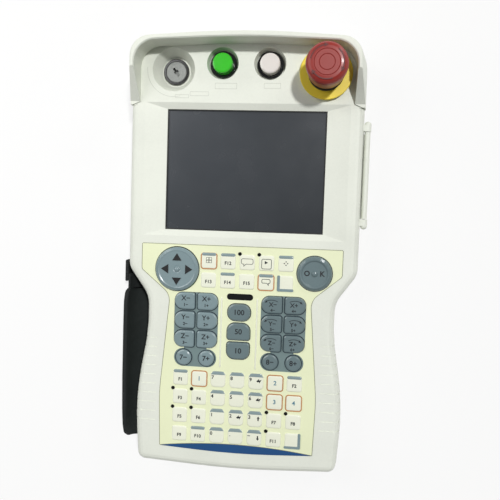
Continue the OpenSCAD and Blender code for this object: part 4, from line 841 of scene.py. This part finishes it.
# %% Jog legends
def add_turn_arrow(bm, x, y, z, way):
    """A shallow arc with an arrow head at its right end for way 1, at its left end for way -1."""
    radius, below = 8.8, 5.2
    add_arc(bm, x, y - below, z, radius, 0.45, 62, 118, INK)
    (tip_x, tip_y), = on_circle(x, y - below, radius, [math.radians(90 - 30 * way)])
    head = [(tip_x + way * 0.9, tip_y - 0.9), (tip_x - way * 0.4, tip_y + 0.9),
            (tip_x - way * 1.2, tip_y - 0.5)]
    add_plate(bm, head[::way], z, INK)


def legend(key, lines, way=0):
    """lines holds (words, x, y, size) for each line of a key's legend. way adds a turning arrow."""
    centre = middle(key)
    z = mm_box(key)[1].z - 0.01
    bm = bmesh.new()
    for words, dx, dy, size in lines:
        add_text(bm, words, centre.x + dx, centre.y + dy, z, size, INK)
    if way:
        add_turn_arrow(bm, centre.x, centre.y, z, way)
    piece(key + "_legend", bm, ink, key + "_body")


for row, letter in enumerate("xyz"):
    for sign, word, way in (("-", "minus", -1), ("+", "plus", 1)):
        dx = -0.8 * way
        axis = letter.upper() + sign
        legend(f"jog_{letter}_{word}", [(axis, dx, 1.9, 5.0), (f"{row + 1}{sign}", dx, -2.9, 3.2)])
        legend(f"turn_{letter}_{word}", [(axis, dx, 0.2, 4.4), (f"{row + 4}{sign}", dx, -3.9, 3.0)], way)
for name, words in (("jog_e_minus", "7-"), ("jog_e_plus", "7+"), ("axis_8_minus", "8-"),
                    ("axis_8_plus", "8+")):
    legend(name, [(words, 0, 0, 5.2)])
for name, words in (("speed_key_upper", "100"), ("speed_key_middle", "50"), ("speed_key_lower", "10")):
    legend(name, [(words, 0, 0, 5.4)])

# %% [markdown]
# The cursor key shows four triangles round its middle bump, one turned four times, and the select key
# two plain letters. On both keys a middle bump stands higher than the face that carries the print.

# %% Cursor and select legends
cursor = middle("cursor_key")
cursor_z = mm_box("cursor_key")[1].z - 1.05
triangles = bmesh.new()
for quarter in range(4):
    turn = Matrix.Rotation(quarter * math.pi / 2, 2)
    corners = [cursor.xy + turn @ Vector(p) for p in ((-3.4, 6.3), (3.4, 6.3), (0, 11.6))]
    add_plate(triangles, corners, cursor_z, 0.5)
piece("cursor_triangles", triangles, bezel, "cursor_key_body")

select = middle("select_key")
select_z = mm_box("select_key")[1].z - 1.2
select_legend = bmesh.new()
for words, dx in (("O", -5.4), ("K", 5.4)):
    add_text(select_legend, words, select.x + dx, select.y, select_z, 5.2, 0.12, bold=0.16)
piece("select_legend", select_legend, ink, "select_key_body")

# %% [markdown]
# ## The emergency stop's arrows
# Turning the head releases it. Three curved arrows, moulded proud of the top, show the way.

# %% Arrows on the head
ARROW_RADIUS = 10.9
head = middle("estop_head")
arrow_z = mm_box("estop_head")[1].z - 0.05
arrows = bmesh.new()
for first in (-20, 100, 220):
    add_arc(arrows, head.x, head.y, arrow_z, ARROW_RADIUS, 0.7, first, first + 70, 0.22)
    end = math.radians(first - 3)
    out = Vector((math.cos(end), math.sin(end)))
    along = Vector((math.sin(end), -math.cos(end)))
    spot = head.xy + out * ARROW_RADIUS
    back = spot - along * 0.8
    add_plate(arrows, [spot + along * 1.8, back + out * 1.4, back - out * 1.4], arrow_z, 0.22)
piece("head_arrows", arrows, deep_red, "estop_head_body")

# %% [markdown]
# ## Frames on the head
# Under the switches stand thin empty frames, where such a panel has its labels. They lie on the
# casing, so each of their points is set to the height found by looking down at it from above.


# %% Label frames
def casing_height(x, y):
    found, where, _, _ = nodes["front_case"].ray_cast(Vector((x, y, 100)) * MM, Vector((0, 0, -1)))
    return where.z / MM if found else panel_z


FRAME_LINE = 0.3
FRAME_LOW = 0.015  # how deep the frames are let into the casing
label_lines = bmesh.new()
for low_x, low_y, high_x, high_y in ((-22.6, 121.85, -6.8, 126.05), (12.5, 122.55, 24.5, 126.35),
                                     (-51.5, 115.15, -41.3, 117.65), (-40.6, 116.75, -26.8, 119.85)):
    x, y = (low_x + high_x) / 2, (low_y + high_y) / 2
    add_line(label_lines, box_outline(x, y, high_x - low_x, high_y - low_y, 0.3), FRAME_LINE, 0, 0.05)
lock = middle("mode_lock")
add_arc(label_lines, lock.x, lock.y, 0, 19.25, FRAME_LINE, 175, 285, 0.05, segments=40)
for v in label_lines.verts:
    v.co.z += casing_height(v.co.x, v.co.y) - FRAME_LOW
piece("label_frames", label_lines, pale_ink, "housing")

# %% [markdown]
# ## The hand strap
# A padded nylon sleeve goes round the back of the fingers. Here it is a section that changes along
# the grip: an arc with a thickness, wide in the middle and drawn in at both ends. The table has one
# row for each place where the section changes, and what lies between two rows is blended.


# %% Strap sections
EDGE_X = -67.4
LOW_Y, HIGH_Y = -138.25, -9.25
INNER_LOW = 4.8  # height of the lowest point of the sleeve's inner face
STATIONS = [  # y, x of the centre, outer radius, thickness, first and last angle
    (LOW_Y - 5, EDGE_X - 8.5, 15.5, 2.5, 214, 252), (LOW_Y - 2, EDGE_X - 6, 17.9, 3.2, 200, 258),
    (LOW_Y + 6, EDGE_X - 2, 20.3, 3.6, 188, 264), (LOW_Y + 20, EDGE_X, 21.5, 3.6, 181, 272),
    (LOW_Y + 45, EDGE_X, 21.5, 3.6, 178, 276), (HIGH_Y - 45, EDGE_X, 21.5, 3.6, 178, 276),
    (HIGH_Y - 26, EDGE_X, 21.5, 3.6, 179, 274), (HIGH_Y - 19, EDGE_X, 21.2, 3.6, 182, 268),
    (HIGH_Y - 16.5, EDGE_X, 20.0, 2.9, 186, 262)]
SLEEVE_START = STATIONS[0][0]
SLEEVE_LENGTH = STATIONS[-1][0] - SLEEVE_START


def strap_section(y):
    """At any y: the arc's centre x and z, its middle radius, the thickness, first and last angle."""
    row = STATIONS[-1]
    for a, b in zip(STATIONS, STATIONS[1:]):
        if y <= b[0]:
            t = (y - a[0]) / (b[0] - a[0])
            row = [p + (q - p) * t for p, q in zip(a, b)]
            break
    _, x, radius, thick, first, last = row
    return x, INNER_LOW + radius - thick, radius - thick / 2, thick, math.radians(first), math.radians(last)


def sleeve_point(y, around, swell):
    """A point of the sleeve's skin. around runs from 0 to 1: out along the outer face and back."""
    x, z, radius, thick, first, last = strap_section(y)
    side = 1 if around < 0.5 else -1
    along = 2 * around if around < 0.5 else 2 - 2 * around
    fullness = math.sqrt(min(1.0, min(along, 1 - along) / 0.045))
    a = first + (last - first) * along
    radius += side * fullness * (thick / 2 + swell)
    return Vector((x + radius * math.cos(a), y, z + radius * math.sin(a)))


print("sleeve length in mm:", round(SLEEVE_LENGTH, 1))

# %% [markdown]
# The sleeve is a closed shell. Circles of the same number of points are shaped to the section, one
# behind the other, bridged one to the next and closed at both ends. Small waves wrinkle the skin, and
# a UV map keeps the weave in line with the cloth.


# %% Sleeve
def bridge_rings(bm, rings):
    """Joins rings of vertices one to the next and closes the first and the last."""
    for pair in zip(rings, rings[1:]):
        edges = [bm.edges.get(ends) for ring in pair for ends in zip(ring, ring[1:] + ring[:1])]
        bmesh.ops.bridge_loops(bm, edges=edges)
    for ring in (rings[0], rings[-1]):
        bmesh.ops.contextual_create(bm, geom=ring)


RINGS, AROUND = 96, 72
GIRTH = 75.0  # way round the sleeve in the cloth, in millimetres
RING_STEP = 1.2  # way from ring to ring in the cloth
UV_SCALE = 0.01  # one UV unit is 100 mm
sleeve_bm = bmesh.new()
sleeve_uv = sleeve_bm.loops.layers.uv.new("weave")
rings, place_of = [], {}
for i in range(RINGS + 1):
    y = SLEEVE_START + SLEEVE_LENGTH * i / RINGS
    ring = bmesh.ops.create_circle(sleeve_bm, segments=AROUND, radius=1)["verts"]
    for j, v in enumerate(ring):
        around = (j + 0.5) / AROUND
        wrinkle = 0.12 * math.sin(y * 0.9 + 3 * math.sin(around * 9)) * math.sin(y * 0.23 + around * 5)
        v.co = sleeve_point(y, around, wrinkle - 0.15)
        place_of[v] = (j / AROUND * GIRTH, i * RING_STEP)
    rings.append(ring)
bridge_rings(sleeve_bm, rings)
for face in sleeve_bm.faces:
    spots = [place_of[loop.vert] for loop in face.loops]
    over_seam = max(u for u, _ in spots) - min(u for u, _ in spots) > GIRTH / 2
    for loop, (u, v) in zip(face.loops, spots):
        if over_seam and u < GIRTH / 2:
            u += GIRTH
        loop[sleeve_uv].uv = (u * UV_SCALE, v * UV_SCALE)
print("sleeve faces:", len(sleeve_bm.faces))

# %% [markdown]
# The cloth is a plain weave. Its threads run along and across the sleeve, so the pattern follows the
# UV map. Two waves, one for each way, alternate over and under.


# %% Woven nylon
def woven(name, colour, thread):
    """Plain weave of that thread pitch, in UV units of 100 mm."""
    finish = Finish(name, colour, 0.8, specular=0.3)
    cloth = finish.node("ShaderNodeUVMap", {"uv_map": "weave"}).outputs["UV"]
    u, v, _ = finish.axes(cloth)
    weave = u.wave(thread) * v.wave(thread)
    fuzz = finish.noise(0.0012, 4.0)
    height = weave * 0.5 + fuzz * 0.6
    lighter = shade(colour, 2.1, 0.004)
    finish.paint(finish.mix((height + finish.noise(0.02) * 0.4).band(0.1, 1.1), colour, lighter))
    finish.relief(height, 0.00018, 0.8)
    finish.gloss(fuzz * 0.2 + 0.62)
    return finish


sleeve_cloth = woven("sleeve_cloth", tone(27, 32, 31), 0.0075)
webbing_cloth = woven("webbing_cloth", tone(24, 27, 27), 0.012)
sleeve = piece("strap_sleeve", sleeve_bm, sleeve_cloth, "housing", smooth=True)
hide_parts("hand_strap")

# %% [markdown]
# ## Binding and stitches
# A folded tape closes each long edge, held by a row of stitches. The tape is a thin tube flattened on
# the edge, and each stitch is a short capsule of thread, a stretched ball with few faces.


# %% Binding tape
def edge_frame(y, edge):
    """On a long edge (0 upper, 1 lower): its point, the way out of it and the way off its face."""
    x, z, radius, _, first, last = strap_section(y)
    a = last if edge else first
    off = Vector((math.cos(a), 0, math.sin(a)))
    out = Vector((-off.z, 0, off.x)) * (1 if edge else -1)
    return Vector((x, y, z)) + off * radius, out, off


def lay_weave(faces, layer, place):
    """Gives faces their place in the cloth. place(vertex) is in millimetres."""
    for face in faces:
        for loop in face.loops:
            loop[layer].uv = Vector(place(loop.vert)) * UV_SCALE


TAPE_STEPS, TAPE_AROUND = 70, 12
stitch_shape = Matrix.Diagonal((1, 3.2, 1, 1))
tape = bmesh.new()
tape_uv = tape.loops.layers.uv.new("weave")
stitches = bmesh.new()
for edge in (0, 1):
    rings = []
    for i in range(TAPE_STEPS + 1):
        y = SLEEVE_START + 0.3 + (SLEEVE_LENGTH - 0.6) * i / TAPE_STEPS
        spot, out, off = edge_frame(y, edge)
        half = strap_section(y)[3] / 2 + 0.05
        ring = bmesh.ops.create_circle(tape, segments=TAPE_AROUND, radius=1)["verts"]
        for j, v in enumerate(ring):
            a = math.tau * j / TAPE_AROUND
            v.co = spot + out * (1.9 * math.cos(a) - 1.6) + off * (half * 1.02 * math.sin(a))
        rings.append(ring)
        if 0 < i < TAPE_STEPS:
            for side in (1, -1):
                place = Matrix.Translation(spot - out * 2.0 + off * side * (half + 0.02))
                bmesh.ops.create_icosphere(stitches, subdivisions=1, radius=0.22,
                                           matrix=place @ stitch_shape)
    bridge_rings(tape, rings)
lay_weave(tape.faces, tape_uv, lambda v: (v.co.z, v.co.y))
piece("strap_binding", tape, webbing_cloth, "housing", smooth=True)
piece("strap_stitches", stitches, rubber, "housing")

# %% [markdown]
# ## Webbing and its tail
# Flat webbing joins the sleeve to its anchors under the casing, and a free end curls up beside the
# waist. Each strap is a section with worn edges, carried along a path and bridged like the sleeve.


# %% Webbing
def strip(bm, layer, path, low_y, high_y, thick):
    """A strap of that thickness along a path of (x, z) points, as wide as the two y."""
    mid, half, bevel = (low_y + high_y) / 2, (high_y - low_y) / 2, thick * 0.3
    shape = [(half, 0.35), (half - bevel, 1), (bevel - half, 1), (-half, 0.35), (-half, -0.35),
             (bevel - half, -1), (half - bevel, -1), (half, -0.35)]
    rows, travelled = [], {}
    for i, (x, z) in enumerate(path):
        ahead = Vector(path[min(i + 1, len(path) - 1)]) - Vector(path[max(i - 1, 0)])
        side = Vector((-ahead.y, ahead.x)).normalized() * thick / 2
        ring = bmesh.ops.create_circle(bm, segments=len(shape), radius=1)["verts"]
        for v, (across, out) in zip(ring, shape):
            v.co = (x + side.x * out, mid + across, z + side.y * out)
            travelled[v] = i * 1.5
        rows.append(ring)
    bridge_rings(bm, rows)
    faces = [f for f in bm.faces if all(v in travelled for v in f.verts)]
    lay_weave(faces, layer, lambda v: (travelled[v], v.co.y))


webbing = bmesh.new()
webbing_uv = webbing.loops.layers.uv.new("weave")
to_anchor = [(x, 5.1) for x in (-70.6, -68, -64, -60, -56, mm_box("strap_anchors")[1].x)]
for low_y, high_y in ((HIGH_Y - 18, HIGH_Y + 6.5), (LOW_Y - 6.5, LOW_Y + 8)):
    strip(webbing, webbing_uv, to_anchor, low_y, high_y, 1.8)
x, z, radius, *_ = strap_section(HIGH_Y - 45)
bend = [(x + radius * math.cos(a), z + radius * math.sin(a)) for a in map(math.radians, range(196, 257, 6))]
strip(webbing, webbing_uv, bend + [(-70, 3.9), (-65, 5.1)], HIGH_Y - 24, HIGH_Y - 5.5, 1.8)
piece("strap_webbing", webbing, webbing_cloth, "housing")

tail_low, tail_high = mm_box("strap_tail")
tail_bm = bmesh.new()
tail_uv = tail_bm.loops.layers.uv.new("weave")
curl = [(-70.2, 4.6), (-74, 4.4), (-80, 4.3), (tail_low.x + 4.6, 4.6), (tail_low.x + 2.4, 5.8),
        (tail_low.x + 1.4, 8.2), (tail_low.x + 1.2, 11.0), (tail_low.x + 1.3, tail_high.z - 0.1)]
strip(tail_bm, tail_uv, curl, tail_low.y, tail_high.y, 2.2)
tail = piece("webbing_tail", tail_bm, webbing_cloth, "housing")
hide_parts("strap_tail")

# %% [markdown]
# ## The table
# A white table. Seen straight by the camera it is mostly its own white, so the page stays clean, and
# the object's soft shadow still falls on it. A Mix Shader does that: rays from the camera, straight or
# by way of a glossy or clear surface, meet three parts of glow to one of paint, and others only paint.

# %% Table and world
table_bm = bmesh.new()
bmesh.ops.create_grid(table_bm, x_segments=1, y_segments=1, size=3.0)
bmesh.ops.translate(table_bm, verts=table_bm.verts, vec=(0, 0, cad_low.z - 0.0002))
table_mesh = bpy.data.meshes.new("table")
table_bm.to_mesh(table_mesh)
table_bm.free()
table = add_object("table", table_mesh)
paint = Finish("table_white", tone(245, 245, 243), 0.9, specular=0.1)
rays = paint.node("ShaderNodeLightPath").outputs
direct = [Value(paint, rays[f"Is {kind} Ray"]) for kind in ("Camera", "Glossy", "Transmission")]
glow = paint.node("ShaderNodeEmission", {}, {"Color": (1, 1, 1, 1), "Strength": 1.0})
white = paint.node("ShaderNodeMixShader", {},
                   {0: sum(direct) * 0.75, 1: paint.shader.outputs[0], 2: glow.outputs[0]})
paint.tree.links.new(white.outputs[0], paint.tree.nodes["Material Output"].inputs["Surface"])
table_mesh.materials.append(paint.material)

world = bpy.data.worlds.new("room")
bpy.context.scene.world = world
world.use_nodes = True
background = world.node_tree.nodes["Background"]
background.inputs["Color"].default_value = (0.96, 0.98, 1.0, 1)
background.inputs["Strength"].default_value = 0.12
print("table and world done")
